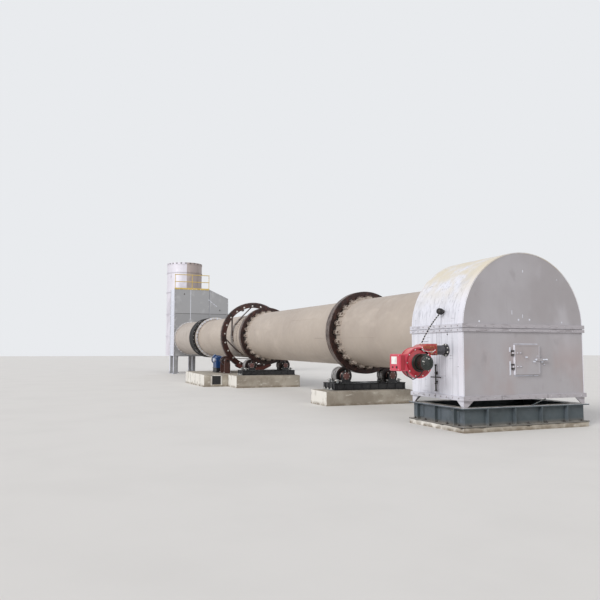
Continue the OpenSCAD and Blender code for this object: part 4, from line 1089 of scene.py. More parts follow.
def seam_bolts():
    """Small bolts through both strips of the seam and through the foot flange, and the joints of the flange."""
    bolts, dark = Piece(), Piece()
    rows = [(seam_low.z + 0.031, 0.018), (seam_high.z - 0.04, 0.018), (foot_low.z + 0.043, 0.02)]
    out = seam_high.x
    for z, size in rows:
        for i in range(15):
            y = -1.4 + i * 0.2
            bolts.bolt((out, y, z), (1, 0, 0), size)
            if z < 1 or abs(y) > 1.28:
                bolts.bolt((seam_low.x, y, z), (-1, 0, 0), size)
        for i in range(9):
            x = HOOD_BACK + 0.1 + i * 0.2
            for s in (-1, 1):
                bolts.bolt((x, s * seam_high.y, z), (0, s, 0), size)
    for y in (-0.637, 0.509):
        dark.block((out - 0.002, y - 0.004, foot_low.z + 0.002), (out + 0.0015, y + 0.004, foot_high.z - 0.002), 0.0)
    for s in (-1, 1):
        dark.block((6.02, min(s * seam_high.y, s * (seam_high.y + 0.0015)), foot_low.z + 0.002),
                   (6.028, max(s * seam_high.y, s * (seam_high.y + 0.0015)), foot_high.z - 0.002), 0.0)
    bolts.done("hood_flange_bolts", "plant", "hood_flange", FLANGE_BOLT)
    dark.done("hood_flange_joints", "plant", "hood_dark", DARK_IRON)


def door_details():
    """Edge strips, hinge straps, knobs and latch grip on the door; jamb strips and keeper on the hood."""
    body, knobs = Piece(), Piece()
    y0, y1 = -0.309, 0.309
    z0, z1 = door_low.z, door_high.z
    f = DOOR_FACE
    lip = 0.024
    body.block((f, y0, z0), (f + 0.005, y1, z0 + lip), 0.002)
    body.block((f, y0, z1 - lip), (f + 0.005, y1, z1), 0.002)
    body.block((f, y0, z0 + lip), (f + 0.005, y0 + lip, z1 - lip), 0.002)
    body.block((f, y1 - lip, z0 + lip), (f + 0.005, y1, z1 - lip), 0.002)
    middle = (z0 + z1) / 2
    for s in (-1, 1):
        z = middle + s * 0.135
        body.block((f, y0 - 0.002, z - 0.02), (f + 0.009, y0 + 0.17, z + 0.02), 0.003)
        for y in (y0 + 0.05, y0 + 0.13):
            knobs.bolt((f + 0.009, y, z), (1, 0, 0), 0.02, washer=False)
    for y, z in ((-0.035, 1.427), (0.156, 1.339)):
        knobs.rod((f, y, z), (f + 0.028, y, z), 0.007, 0.001, 12)
        knobs.ball((f + 0.034, y, z), 0.016, 16, (0.7, 1, 1))
        knobs.rod((f, y, z), (f + 0.006, y, z), 0.02, 0.002, 16)
    knobs.rod((f + 0.002, 0.225, 1.45), (f + 0.002, 0.285, 1.45), 0.005, 0.001, 8)
    lx = f + 0.024
    knobs.rod((f, 0.2, middle), (lx + 0.012, 0.2, middle), 0.018, 0.003, 18)
    knobs.rod((lx, 0.37, middle), (lx, 0.476, middle), 0.015, 0.004, 16)
    knobs.ball((lx, 0.468, middle), 0.02, 16)
    body.done("door_strips", "hood_door", "hood_front", FRONT_SHADED)
    knobs.done("door_knobs", "hood_door", "hood_dark", PALE)
    jamb = Piece()
    x = HOOD_X
    jamb.block((x - 0.002, -0.41, middle + 0.155), (x + 0.007, -0.378, middle + 0.25), 0.002)
    jamb.block((x - 0.002, -0.41, z0 - 0.013), (x + 0.007, -0.378, middle - 0.03), 0.002)
    jamb.block((x - 0.002, 0.345, z0 + 0.02), (x + 0.004, 0.36, z1 - 0.02), 0.001)
    jamb.block((x - 0.002, -0.3, z0 - 0.03), (x + 0.006, 0.3, z0 - 0.014), 0.001)
    jamb.block((x - 0.002, -0.3, z1 + 0.012), (x + 0.006, 0.3, z1 + 0.026), 0.001)
    jamb.block((x - 0.002, 0.385, middle - 0.06), (x + 0.012, 0.44, middle - 0.018), 0.003)
    jamb.rod((x, 0.45, 1.281), (x + 0.02, 0.45, 1.281), 0.01, 0.002, 12)
    jamb.done("door_jambs", "plant", "hood_front", PALE)


def front_marks():
    """Small studs and clips on the front plate above the seam."""
    p = Piece()
    for y, z, length in ((-0.022, 3.156, 0.05), (-0.053, 2.248, 0.07), (0.858, 3.021, 0.03), (-0.319, 2.32, 0.09)):
        p.block((HOOD_X - 0.001, y - 0.006, z - length / 2), (HOOD_X + 0.006, y + 0.006, z + length / 2), 0.002)
    for y, z in ((-0.156, 2.173), (0.122, 2.179), (0.954, 2.14), (-1.115, 2.13)):
        p.lathe([(0, 0.02), (0.003, 0.018), (0.004, 0)], 16, at=Matrix.Translation((HOOD_X, y, z)))
    p.done("front_marks", "plant", "hood_front", PALE)


def base_details():
    """A pale top angle, a painted highlight with dust along the top edge, anchor bolts, splice plates and the slanting
    tie under the hood's front.
    """
    steel, bolts, pale = Piece(), Piece(), Piece()
    x1, y1, z1 = base_high.x, base_high.y, base_high.z
    x0 = base_low.x
    # Pale strips along the top edges: a painted highlight, partly dust.
    pale.block((x0, -y1, z1 - 0.001), (x1, -y1 + 0.012, z1 + 0.003), 0.001)
    pale.block((x0, y1 - 0.012, z1 - 0.001), (x1, y1, z1 + 0.003), 0.001)
    pale.block((x1 - 0.012, -y1 + 0.012, z1 - 0.001), (x1, y1 - 0.012, z1 + 0.003), 0.001)
    low = base_low.z + 0.022
    for i in range(7):
        y = -1.38 + i * 0.46
        bolts.bolt((x1 - 0.036, y, low), (0, 0, 1), 0.034, stud=True)
        bolts.bolt((x0 + 0.036, y, low), (0, 0, 1), 0.034, stud=True)
    for i in range(5):
        x = x0 + 0.2 + i * (x1 - x0 - 0.4) / 4
        for s in (-1, 1):
            bolts.bolt((x, s * (y1 - 0.036), low), (0, 0, 1), 0.034, stud=True)
    steel.rod((HOOD_X - 0.05, 0.18, base_high.z + 0.006), (HOOD_X - 0.05, 0.52, HOOD_Z - 0.012), 0.011, 0.0, 10)
    for s in (-1, 1):
        for i in range(3):
            x = x0 + 0.34 + i * 0.62
            a, b = sorted((s * (y1 - 0.08), s * (y1 - 0.068)))
            steel.block((x - 0.13, a, low + 0.05), (x + 0.13, b, z1 - 0.07), 0.003)
    pale.done("base_edge_highlight_and_dust", "plant", "base_grey", PALE)
    steel.done("base_plates", "plant", "base_grey", BASE)
    bolts.done("base_bolts", "plant", "base_grey", DARK_IRON)


def hood_seal_details():
    """Segments and bolts of the seal between the hood and the kiln."""
    x0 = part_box("hood_seal")[0].x
    place = Matrix.Translation((0, 0, axis_z(HOOD_BACK)))
    dark, bolts = Piece(place), Piece(place)
    for at in around(24, 1.09):
        dark.block((x0 - 0.006, -0.125, -0.07), (x0 + 0.002, 0.125, 0.07), 0.003, at=at)
        for y in (-0.08, 0.08):
            bolts.bolt(at @ Vector((x0 - 0.006, y, 0)), (-1, 0, 0), 0.024)
    dark.done("hood_seal_leaves", "plant", "hood_dark", DARK_IRON)
    bolts.done("hood_seal_bolts", "plant", "hood_dark", BRIGHT)


hood_rim()
seam_bolts()
door_details()
front_marks()
base_details()
hood_seal_details()

# Burner, in its own place: local X along the kiln, local Y out to the left of the hood is negative

tube_low, tube_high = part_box("burner_tube")
BURNER = Matrix.Translation(((tube_low.x + tube_high.x) / 2, -HOOD_R, (tube_low.z + tube_high.z) / 2))
FAN = (-0.75, -0.245)
FAN_R = 0.29
FAN_FACE = 0.18
TUBE_OUT = 0.34
HOUSING_OUT = 0.82
REAR = 1.173


def burner_details():
    red, pink, cast, dark = Piece(BURNER), Piece(BURNER), Piece(BURNER), Piece(BURNER)
    bright, motor, label = Piece(BURNER), Piece(BURNER), Piece(BURNER)
    fan_at = Matrix.Translation((0, FAN[0], FAN[1]))
    # volute: rolled rims in the pink lit copy of the enamel, a painted highlight, front plate with its inlet ring
    for x in (FAN_FACE - 0.004, FAN_FACE - 0.22 - 0.006):
        pink.lathe([(x, FAN_R - 0.012), (x, FAN_R + 0.009), (x + 0.01, FAN_R + 0.009), (x + 0.01, FAN_R - 0.012)], 64,
                   closed=True, at=fan_at)
    red.lathe([(FAN_FACE - 0.002, 0), (FAN_FACE - 0.002, 0.245), (FAN_FACE + 0.006, 0.24), (FAN_FACE + 0.012, 0.2),
               (FAN_FACE + 0.02, 0.178), (FAN_FACE + 0.02, 0)], 56, at=fan_at)
    for i in range(10):
        at = fan_at @ spin(18 + i * 36)
        bright.bolt(at @ Vector((FAN_FACE + 0.006, 0, 0.262)), (1, 0, 0), 0.016)
    # scroll and the throat between it and the blast tube
    red.lathe([(FAN_FACE - 0.22, 0), (FAN_FACE - 0.22, FAN_R - 0.01), (FAN_FACE - 0.21, FAN_R), (FAN_FACE - 0.01, FAN_R),
               (FAN_FACE, FAN_R - 0.01), (FAN_FACE, 0)], 64, at=fan_at)
    red.slab([(-0.826, -0.095), (-0.48, -0.095), (-0.38, -0.08), (-0.34, -0.06), (-0.34, 0.09), (-0.36, 0.11), (-0.58, 0.11),
              (-0.826, -0.02)], -0.18, 0.18, 0.014)
    cast.block((-0.19, -0.352, -0.102), (0.19, -0.334, 0.122), 0.008)
    cast.block((-0.12, -0.56, 0.106), (0.12, -0.37, 0.122), 0.006)
    cast.block((0.176, -0.64, 0.02), (0.194, -0.39, 0.086), 0.008)
    for i in range(6):
        y = -0.4 - i * 0.045
        cast.block((0.192, y - 0.006, 0.024), (0.206, y + 0.006, 0.082), 0.003)
    cast.lathe([(0.18, 0), (0.18, 0.05), (0.205, 0.046), (0.214, 0.02), (0.214, 0)], 24,
               at=Matrix.Translation((0, -0.47, -0.04)))
    for y0, z0, y1, z1 in ((-0.47, -0.04, -0.66, -0.02), (-0.66, -0.02, -0.7, 0.05), (-0.47, -0.04, -0.4, 0.0)):
        bright.rod((0.222, y0, z0), (0.222, y1, z1), 0.007, 0.0, 10)
        bright.ball((0.222, y1, z1), 0.012, 12)
    for x in (-0.16, 0.16):
        for z in (-0.07, 0.09):
            bright.bolt((x, -0.352, z), (0, -1, 0), 0.02)
    # blast tube: root flange bolts, clamp band, worn end
    for i in range(8):
        a = math.radians(22.5 + 45 * i)
        bright.bolt((math.cos(a) * 0.11, -0.03, math.sin(a) * 0.11), (0, -1, 0), 0.02, stud=True)
    dark.ring((0, -0.06, 0), (0, -0.085, 0), 0.101, 0.09, 0.004, 48)
    dark.ring((0, -0.30, 0), (0, -0.334, 0), 0.104, 0.09, 0.004, 48)
    # motor: cooling ribs, cowl and terminal box
    m = Matrix.Translation((FAN_FACE, FAN[0], FAN[1]))
    # Five small bright blocks on the cowl are painted glints.
    for i in range(5):
        at = m @ spin(-20 + i * 31)
        bright.block((0.288, -0.01, 0.07 + 0.012 * (i % 3)), (0.306, 0.012, 0.1 + 0.01 * (i % 2)), 0.002, at=at)
    for i in range(36):
        at = m @ spin(i * 10)
        motor.block((0.11, -0.003, 0.122), (0.235, 0.003, 0.142), 0.0, at=at)
    motor.lathe([(0.235, 0), (0.235, 0.138), (0.245, 0.143), (0.288, 0.14), (0.3, 0.12), (0.302, 0.03), (0.302, 0)], 40, at=m)
    for r in (0.045, 0.07, 0.095):
        motor.lathe([(0.3, r - 0.006), (0.307, r - 0.004), (0.307, r + 0.004), (0.3, r + 0.006)], 32, at=m)
    motor.block((0.12, -0.05, 0.13), (0.22, 0.05, 0.175), 0.006, at=m)
    motor.lathe([(0.02, 0.1), (0.02, 0.176), (0.03, 0.178), (0.045, 0.17), (0.052, 0.128), (0.052, 0.1)], 48, closed=True,
                at=m)
    for i in range(8):
        at = m @ spin(22.5 + i * 45)
        bright.bolt(at @ Vector((0.03, 0, 0.152)), (1, 0, 0), 0.016)
    # rear cover, pink as painted light, with its bare plate and switches
    y = -REAR
    pink.block((-0.184, y - 0.006, -0.404), (0.184, y + 0.03, -0.076), 0.012)
    pink.block((-0.17, y - 0.012, -0.39), (0.17, y - 0.004, -0.09), 0.006)
    label.block((-0.11, y - 0.0145, -0.27), (0.09, y - 0.0115, -0.125), 0.001)
    for x, size in ((-0.06, 0.018), (0.09, 0.024)):
        dark.lathe([(0, size), (0.012, size * 0.9), (0.014, 0)], 18,
                   at=Matrix.Translation((x, y - 0.012, -0.33)) @ spin_matrix((0, -1, 0)))
    for x in (-0.155, 0.155):
        for z in (-0.375, -0.105):
            bright.bolt((x, y - 0.012, z), (0, -1, 0), 0.012, washer=False)
    red.block((0.178, -1.15, -0.38), (0.186, -1.055, -0.1), 0.003)
    dark.tube([(0.13, -1.0, -0.41), (0.16, -0.98, -0.5), (0.2, -0.9, -0.56), (0.26, -0.8, -0.5), (0.29, -0.74, -0.41)],
              0.011, 10)
    red.done("burner_casing", "plant", "burner_red", RED, replaces=("burner_housing",))
    pink.done("burner_rims", "plant", "control_red", RED_LIT_COPY)
    cast.done("burner_castings", "plant", "burner_dark", CASTING)
    dark.done("burner_fittings", "plant", "burner_dark", RUBBER)
    bright.done("burner_bolts_and_glints", "plant", "burner_dark", BRIGHT)
    motor.done("burner_motor_ribs", "plant", "burner_dark", MOTOR_DARK)
    label.done("burner_plate", "plant", "control_red", LABEL)


def thermocouple_details():
    low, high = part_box("thermocouple")
    centre = Vector(((low.x + high.x) / 2, low.y + 0.065, (low.z + high.z) / 2))
    place = Matrix.Translation(centre) @ spin_matrix((0.35, -1, 0.12))
    dark, pale = Piece(place), Piece(place)
    dark.lathe([(-0.045, 0), (-0.045, 0.05), (-0.02, 0.064), (0.045, 0.064), (0.058, 0.06), (0.058, 0.034), (0.05, 0.03),
                (0.05, 0)], 36)
    pale.lathe([(0.049, 0), (0.049, 0.028), (0.056, 0.026), (0.058, 0)], 32)
    for i in range(6):
        at = spin(i * 60)
        dark.bolt(at @ Vector((0.057, 0, 0.048)), (1, 0, 0), 0.01, washer=False)
    dark.rod((-0.1, 0, 0), (-0.03, 0, 0), 0.026, 0.003, 20)
    dark.done("thermocouple_head", "plant", "fitting_steel", RUBBER)
    pale.done("thermocouple_cover", "plant", "fitting_steel", LABEL)


def conduit_details():
    """The flexible conduit, ribbed, from the thermocouple to the top of the burner."""
    t_low, t_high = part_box("thermocouple")
    start = Vector(((t_low.x + t_high.x) / 2, t_low.y + 0.05, (t_low.z + t_high.z) / 2 - 0.04))
    end = BURNER @ Vector((0, -0.58, 0.108))
    knee = (start + end) / 2 + Vector((0, -0.045, 0.05))
    path = []
    steps = 26
    for i in range(steps + 1):
        t = i / steps
        path.append(start * (1 - t) ** 2 + knee * 2 * t * (1 - t) + end * t ** 2)
    hose, pale = Piece(), Piece()
    hose.tube(path, 0.011, 12)
    for i in range(steps):
        a = path[i]
        b = a + (path[i + 1] - a) * 0.45
        (pale if i % 2 else hose).ring(a, b, 0.014, 0.0105, 0.0015, 14)
    pale.rod(path[-2], path[-1], 0.02, 0.003, 14)
    hose.done("conduit_hose", "plant", "burner_dark", RUBBER, replaces=("conduit",))
    pale.done("conduit_rings", "plant", "burner_dark", BRIGHT)


def drop_bolt_details():
    low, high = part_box("drop_bolt")
    x = (low.x + high.x) / 2
    y = low.y + 0.015
    p = Piece()
    p.rod((x, y, high.z - 0.03), (x, y, high.z), 0.021, 0.004, 14)
    p.ring((x, y, low.z + 0.15), (x, y, low.z + 0.175), 0.024, 0.0155, 0.002, 18)
    p.ring((x, y, low.z + 0.36), (x, y, low.z + 0.385), 0.024, 0.0155, 0.002, 18)
    for s in (-1, 1):
        p.ball((x + s * 0.164, y, low.z + 0.285), 0.014, 12)
    p.block((x - 0.035, y + 0.012, low.z + 0.34), (x + 0.035, -HOOD_R + 0.001, low.z + 0.4), 0.004)
    p.done("drop_bolt_collars", "plant", "fitting_steel", DARK_IRON)


burner_details()
thermocouple_details()
conduit_details()
drop_bolt_details()

# Drive, in the place of the pinion: local X along the kiln, the gear at 0

pinion_joint = joints["pinion_turn"]
PINION = Matrix.Translation(Vector(pinion_joint["pos_m"])) @ spin_matrix(pinion_joint["axis"])
reducer_low, reducer_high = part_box("reducer")
REDUCER = (-1.19, -0.55)
REDUCER_HALF = 0.26
REDUCER_TOP = 0.14
MOTOR_END = -1.81
MOTOR_R = 0.2


def drive_details():
    foot = (PINION.inverted() @ Vector((reducer_low.x, PINION.translation.y, reducer_low.z + 0.008))).z
    blue, black, pale = Piece(PINION), Piece(PINION), Piece(PINION)
    bolts, hub = Piece(PINION), Piece(PINION)
    x0, x1 = REDUCER
    w = REDUCER_HALF
    skid = foot + 0.215
    black.block((x0 - 0.012, -w - 0.012, foot + 0.02), (x1 + 0.012, w + 0.012, skid - 0.02), 0.0)
    for z in (foot, skid - 0.02):
        black.block((x0 - 0.03, -w - 0.03, z), (x1 + 0.03, w + 0.03, z + 0.02), 0.004)
    for y in (-0.18, 0.0, 0.18):
        black.block((x1 + 0.012, y - 0.008, foot + 0.02), (x1 + 0.028, y + 0.008, skid - 0.02), 0.0)
    blue.block((x0 - 0.014, -w - 0.014, -0.014), (x1 + 0.014, w + 0.014, 0.014), 0.003)
    for s in (-1, 1):
        for i in range(6):
            x = x0 + 0.05 + i * (x1 - x0 - 0.1) / 5
            a, b = sorted((s * w, s * (w + 0.014)))
            if abs(x - (x0 + x1) / 2) > 0.1:
                blue.block((x - 0.007, a, skid), (x + 0.007, b, REDUCER_TOP - 0.012), 0.0)
            bolts.bolt((x + 0.03, s * (w + 0.003), 0.014), (0, 0, 1), 0.016, washer=False)
    for y in (-0.19, -0.11, 0.11, 0.19):
        blue.block((x1, y - 0.007, skid), (x1 + 0.014, y + 0.007, REDUCER_TOP - 0.012), 0.0)
        bolts.bolt((x1 + 0.006, y + 0.03, 0.014), (0, 0, 1), 0.016, washer=False)
    blue.block((x0 + 0.06, -w + 0.05, REDUCER_TOP - 0.002), (x1 - 0.06, w - 0.05, REDUCER_TOP + 0.014), 0.004)
    blue.block((x0 + 0.2, -0.09, REDUCER_TOP + 0.01), (x1 - 0.2, 0.09, REDUCER_TOP + 0.03), 0.004)
    for sx in (x0 + 0.23, x1 - 0.23):
        for y in (-0.07, 0.07):
            bolts.bolt((sx, y, REDUCER_TOP + 0.03), (0, 0, 1), 0.014, washer=False)
    blue.rod((x1 - 0.12, 0.13, REDUCER_TOP + 0.01), (x1 - 0.12, 0.13, REDUCER_TOP + 0.06), 0.016, 0.004, 14)
    pale.lathe([(x1, 0.058), (x1, 0.11), (x1 + 0.012, 0.105), (x1 + 0.018, 0.08), (x1 + 0.018, 0.058)], 36, closed=True)
    for i in range(6):
        at = spin(i * 60)
        bolts.bolt(at @ Vector((x1 + 0.012, 0, 0.094)), (1, 0, 0), 0.016, washer=False)
    middle = (x0 + x1) / 2
    for s in (-1, 1):
        cap = Matrix.Translation((middle, s * (w + 0.078), 0)) @ spin_matrix((0, s, 0))
        pale.lathe([(-0.07, 0), (-0.07, 0.088), (-0.004, 0.086), (0.006, 0.076), (0.008, 0.03), (0.012, 0)], 32, at=cap)
        for i in range(6):
            at = spin(i * 60)
            bolts.bolt(Vector((middle, s * (w + 0.084), 0)) + Vector((math.cos(i * math.pi / 3) * 0.06, 0,
                       math.sin(i * math.pi / 3) * 0.06)), (0, s, 0), 0.014, washer=False)
    # motor: fins, end bells, terminal box, feet
    for i in range(48):
        angle = i * 7.5
        if abs((angle % 360) - 180) < 22:
            continue
        blue.block((MOTOR_END + 0.12, -0.003, MOTOR_R - 0.004), (x0 - 0.09, 0.003, MOTOR_R + 0.016), 0.0, at=spin(angle))
    blue.lathe([(x0 - 0.085, 0.1), (x0 - 0.085, MOTOR_R + 0.012), (x0 - 0.06, MOTOR_R + 0.018), (x0 - 0.03, MOTOR_R + 0.01),
                (x0 - 0.012, 0.14), (x0 - 0.012, 0.1)], 48, closed=True)
    black.lathe([(MOTOR_END + 0.115, 0.1), (MOTOR_END + 0.115, MOTOR_R + 0.014), (MOTOR_END + 0.02, MOTOR_R + 0.012),
                 (MOTOR_END - 0.004, MOTOR_R - 0.02), (MOTOR_END - 0.006, 0.03), (MOTOR_END - 0.006, 0)], 48)
    for r in (0.06, 0.095, 0.13, 0.165):
        black.lathe([(MOTOR_END - 0.004, r - 0.006), (MOTOR_END - 0.012, r - 0.004), (MOTOR_END - 0.012, r + 0.004),
                     (MOTOR_END - 0.004, r + 0.006)], 36)
    box = spin(38)
    blue.block((-1.6, -0.08, MOTOR_R - 0.01), (-1.42, 0.08, MOTOR_R + 0.05), 0.008, at=box)
    blue.block((-1.607, -0.087, MOTOR_R + 0.05), (-1.413, 0.087, MOTOR_R + 0.064), 0.005, at=box)
    for sx in (-1.59, -1.43):
        for y in (-0.07, 0.07):
            bolts.bolt(box @ Vector((sx, y, MOTOR_R + 0.064)), box.to_3x3() @ Vector((0, 0, 1)), 0.012, washer=False)
    black.block((-1.6, -0.19, foot), (x0 - 0.02, 0.19, foot + 0.026), 0.004)
    for s in (-1, 1):
        for x in (-1.5, -1.3):
            bolts.bolt((x, s * 0.162, foot + 0.026), (0, 0, 1), 0.028, stud=True)
        for x in (x0 + 0.06, x1 - 0.06, middle):
            bolts.bolt((x, s * (w + 0.014), skid), (0, 0, 1), 0.022, washer=False)
    # coupling, which turns with the pinion
    hub.lathe([(-0.535, 0.056), (-0.535, 0.09), (-0.5, 0.09), (-0.497, 0.124), (-0.478, 0.126), (-0.476, 0.09),
               (-0.474, 0.09), (-0.472, 0.126), (-0.453, 0.124), (-0.45, 0.09), (-0.415, 0.09), (-0.415, 0.056)],
              40, closed=True)
    for i in range(8):
        at = spin(i * 45)
        for s in (-1, 1):
            hub.bolt(at @ Vector((-0.475 + s * 0.022, 0, 0.108)), (s, 0, 0), 0.018, washer=False)
    for s in (-1, 1):
        hub.lathe([(s * 0.13, 0.05), (s * 0.13, 0.12), (s * 0.136, 0.118), (s * 0.15, 0.09), (s * 0.15, 0.05)], 36,
                  closed=True)
    blue.done("drive_casings", "plant", "drive_blue", BLUE)
    black.done("drive_skid", "plant", "frame_black", BLACK)
    pale.done("drive_caps", "plant", "drive_blue", PALE)
    bolts.done("drive_bolts", "plant", "drive_blue", BRIGHT)
    hub.done("pinion_coupling", "pinion", "pinion_steel", ROLLER)


def pinion_bearing_details():
    foot = (PINION.inverted() @ Vector((PINION.translation.x, PINION.translation.y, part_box("pinion_bearings")[0].z + 0.006))).z
    grey, bolts = Piece(PINION), Piece(PINION)
    for s in (-1, 1):
        a, b = sorted((s * 0.28, s * 0.40))
        grey.block((a - 0.006, -0.136, -0.012), (b + 0.006, 0.136, 0.012), 0.004)
        for face in (a, b):
            side = -1 if face == a else 1
            ring = [(face, 0.058), (face, 0.088), (face + side * 0.014, 0.084), (face + side * 0.016, 0.06)]
            grey.lathe(ring, 30, closed=True)
        for y in (-0.112, 0.112):
            bolts.bolt(((a + b) / 2, y, 0.012), (0, 0, 1), 0.026, stud=True)
        grey.block((a - 0.03, -0.17, foot), (b + 0.03, 0.17, foot + 0.03), 0.005)
        for y in (-0.15, 0.15):
            for x in (a - 0.008, b + 0.008):
                bolts.bolt((x, y, foot + 0.03), (0, 0, 1), 0.024, stud=True)
    grey.done("pinion_bearing_caps", "plant", "bearing_metal", RUSTY)
    bolts.done("pinion_bearing_bolts", "plant", "bearing_metal", BRIGHT)


def guard_details():
    """Rolled edges and bolts of the lower gear guard."""
    x = station("gear_guard")
    outer = 1.568 + 0.024 + 0.008 + 0.012
    p, bolts = Piece(kiln_place), Piece(kiln_place)
    limit = math.radians(30)
    for s in (-1, 1):
        edge = x + s * 0.15
        p.lathe([(edge - 0.006, outer - 0.02), (edge - 0.006, outer + 0.004), (edge + 0.006, outer + 0.004),
                 (edge + 0.006, outer - 0.02)], 40, closed=True, arc=(1.5 * math.pi - limit, 1.5 * math.pi + limit))
    for angle in (-28, -14, 0, 14, 28):
        at = spin(180 + angle)
        for s in (-1, 1):
            bolts.bolt(at @ Vector((x + s * 0.152, 0, outer - 0.07)), (s, 0, 0), 0.024)
    p.done("guard_rims", "plant", "guard_red", PRIMER)
    bolts.done("guard_bolts", "plant", "guard_red", DARK_IRON)


def foundation_details():
    """Whitish upstands round a black panel that is the painted shade of a cable niche on the free corner of the drive's
    foundation, and dark joints.
    """
    low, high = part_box("drive_pier")
    pale, dark = Piece(), Piece()
    face = high.x
    # A flat black panel in place of the niche's depth: painted shade.
    dark.block((face - 0.01, -2.3, 0.1), (face + 0.004, -1.92, 0.46), 0.0)
    for y0, y1 in ((-2.36, -2.3), (-1.92, -1.86)):
        pale.block((face - 0.01, y0, 0.06), (face + 0.01, y1, 0.5), 0.004)
    pale.block((face - 0.01, -2.36, 0.46), (face + 0.01, -1.86, 0.5), 0.004)
    for x in (-10.4, -11.4, -12.4, -13.2):
        dark.block((x - 0.006, low.y - 0.002, 0.03), (x + 0.006, low.y + 0.004, 0.49), 0.0)
    pale.done("foundation_frame", "plant", "concrete", CONCRETE_PALE)
    dark.done("foundation_niche_shade_and_joints", "plant", "concrete", RUBBER)


drive_details()
pinion_bearing_details()
guard_details()
foundation_details()

# Feed end

front_low, front_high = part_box("feed_front_wall")
CHAMBER_X = front_high.x
CHAMBER_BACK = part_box("feed_back_wall")[0].x
CHAMBER_Y = (front_low.y, front_high.y)
CHAMBER_Z = (front_low.z, front_high.z)
stack_low, stack_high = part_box("feed_stack")
STACK_R = (stack_high.y - stack_low.y) / 2
STACK_PLACE = Matrix.Translation(((stack_low.x + stack_high.x) / 2, (stack_low.y + stack_high.y) / 2, 0))


def seal_details():
    """Clamp bands, overlaps and tightening bolts of the rubber seal, and the collar's bolted rims."""
    low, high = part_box("feed_seal")
    x0 = (kiln_place.inverted() @ Vector((low.x, 0, axis_z(low.x)))).x
    x1 = (kiln_place.inverted() @ Vector((high.x, 0, axis_z(high.x)))).x
    band, rubber, bolts = Piece(kiln_place), Piece(kiln_place), Piece(kiln_place)
    r = 1.15
    for x in (x0 + 0.05, x1 - 0.06):
        band.lathe([(x - 0.025, r - 0.004), (x - 0.025, r + 0.008), (x + 0.025, r + 0.008), (x + 0.025, r - 0.004)], 96,
                   closed=True)
        for angle in (40, 130, 220, 310):
            at = spin(angle)
            for y in (-0.05, 0.05):
                band.block((x - 0.022, y - 0.007, r), (x + 0.022, y + 0.007, r + 0.042), 0.003, at=at)
            bolts.rod(at @ Vector((x, -0.09, r + 0.025)), at @ Vector((x, 0.09, r + 0.025)), 0.008, 0.0, 10)
            for y in (-0.06, 0.06):
                bolts.bolt(at @ Vector((x, y, r + 0.025)), at.to_3x3() @ Vector((0, 1 if y > 0 else -1, 0)), 0.02)
    for i in range(1, 8):
        x = x0 + 0.1 + (x1 - x0 - 0.2) * i / 8
        rubber.lathe([(x - 0.02, r - 0.004), (x - 0.008, r + 0.007), (x + 0.008, r + 0.007), (x + 0.02, r - 0.004)], 96)
    for at in around(30, r - 0.02):
        bolts.bolt(at @ Vector((x1, 0, -0.03)), (1, 0, 0), 0.03)
    rubber.lathe([(x1 - 0.01, 1.03), (x1 + 0.006, 1.032), (x1 + 0.006, r - 0.006), (x1 - 0.01, r)], 96)
    band.done("seal_bands", "plant", "seal_black", DARK_IRON)
    rubber.done("seal_ribs", "plant", "seal_black", SEAL)
    bolts.done("seal_bolts", "plant", "seal_black", BRIGHT)


def collar_details():
    place = Matrix.Translation((CHAMBER_X, 0, axis_z(CHAMBER_X)))
    paint, bolts = Piece(place), Piece(place)
    pale = Piece(place)
    for at in around(32, 1.083):
        bolts.bolt(at @ Vector((0.048, 0, 0)), (1, 0, 0), 0.05, stud=True)
        pale.block((0.038, -0.085, -0.03), (0.048, 0.085, 0.03), 0.003, at=at)
    pale.done("collar_flange_segments", "plant", "collar_paint", PALE)
    for at in around(16, 1.044, 11.25):
        points = [(0.04, -0.008, 0), (0.04, -0.008, 0.05), (0.26, -0.008, 0), (0.04, 0.008, 0), (0.04, 0.008, 0.05),
                  (0.26, 0.008, 0)]
        paint.add(points, [(0, 1, 2), (5, 4, 3), (0, 3, 4, 1), (1, 4, 5, 2), (2, 5, 3, 0)], at=at)
    paint.done("collar_gussets", "plant", "collar_paint", COLLAR)
    bolts.done("collar_bolts", "plant", "collar_paint", BRIGHT)
    rings = Piece(kiln_place)
    start = (kiln_place.inverted() @ Vector((CHAMBER_X, 0, axis_z(CHAMBER_X)))).x
    for along in (1.25, 2.5, 3.75):
        x = start + along
        rings.lathe([(x - 0.01, 1.045), (x - 0.004, 1.0505), (x + 0.004, 1.0505), (x + 0.01, 1.045)], 96)
    x = start + 4.94
    rings.lathe([(x - 0.03, 1.044), (x - 0.03, 1.075), (x + 0.03, 1.075), (x + 0.03, 1.044)], 96)
    rings.done("collar_rings", "plant", "collar_paint", COLLAR)


def chamber_edge(inset):
    """The chamber's outline across the kiln, drawn in."""
    y0, y1 = CHAMBER_Y[0] + inset, CHAMBER_Y[1] - inset
    z0, z1 = CHAMBER_Z[0] + inset, CHAMBER_Z[1] - inset
    return [(y0, z0), (y1, z0), (y1, z1 - SHOULDER_DROP), (y1 - SHOULDER_WIDE, z1), (y0, z1)]


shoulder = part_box("roof_rail")[1].y
SHOULDER_WIDE = CHAMBER_Y[1] - shoulder
SHOULDER_DROP = CHAMBER_Z[1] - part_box("feed_roof")[0].z - 0.15


def strip(piece, a, b, wide, x, out, lift):
    """A flat strip on a wall across the kiln, from a to b as (y, z)."""
    a, b = Vector(a), Vector(b)
    along = (b - a).normalized()
    across = Vector((-along.y, along.x)) * wide / 2
    outline = [a - across, b - across, b + across, a + across]
    x0, x1 = sorted((x - out * 0.002, x + out * lift))
    piece.slab([(p.x, p.y) for p in outline], x0, x1, 0.0)


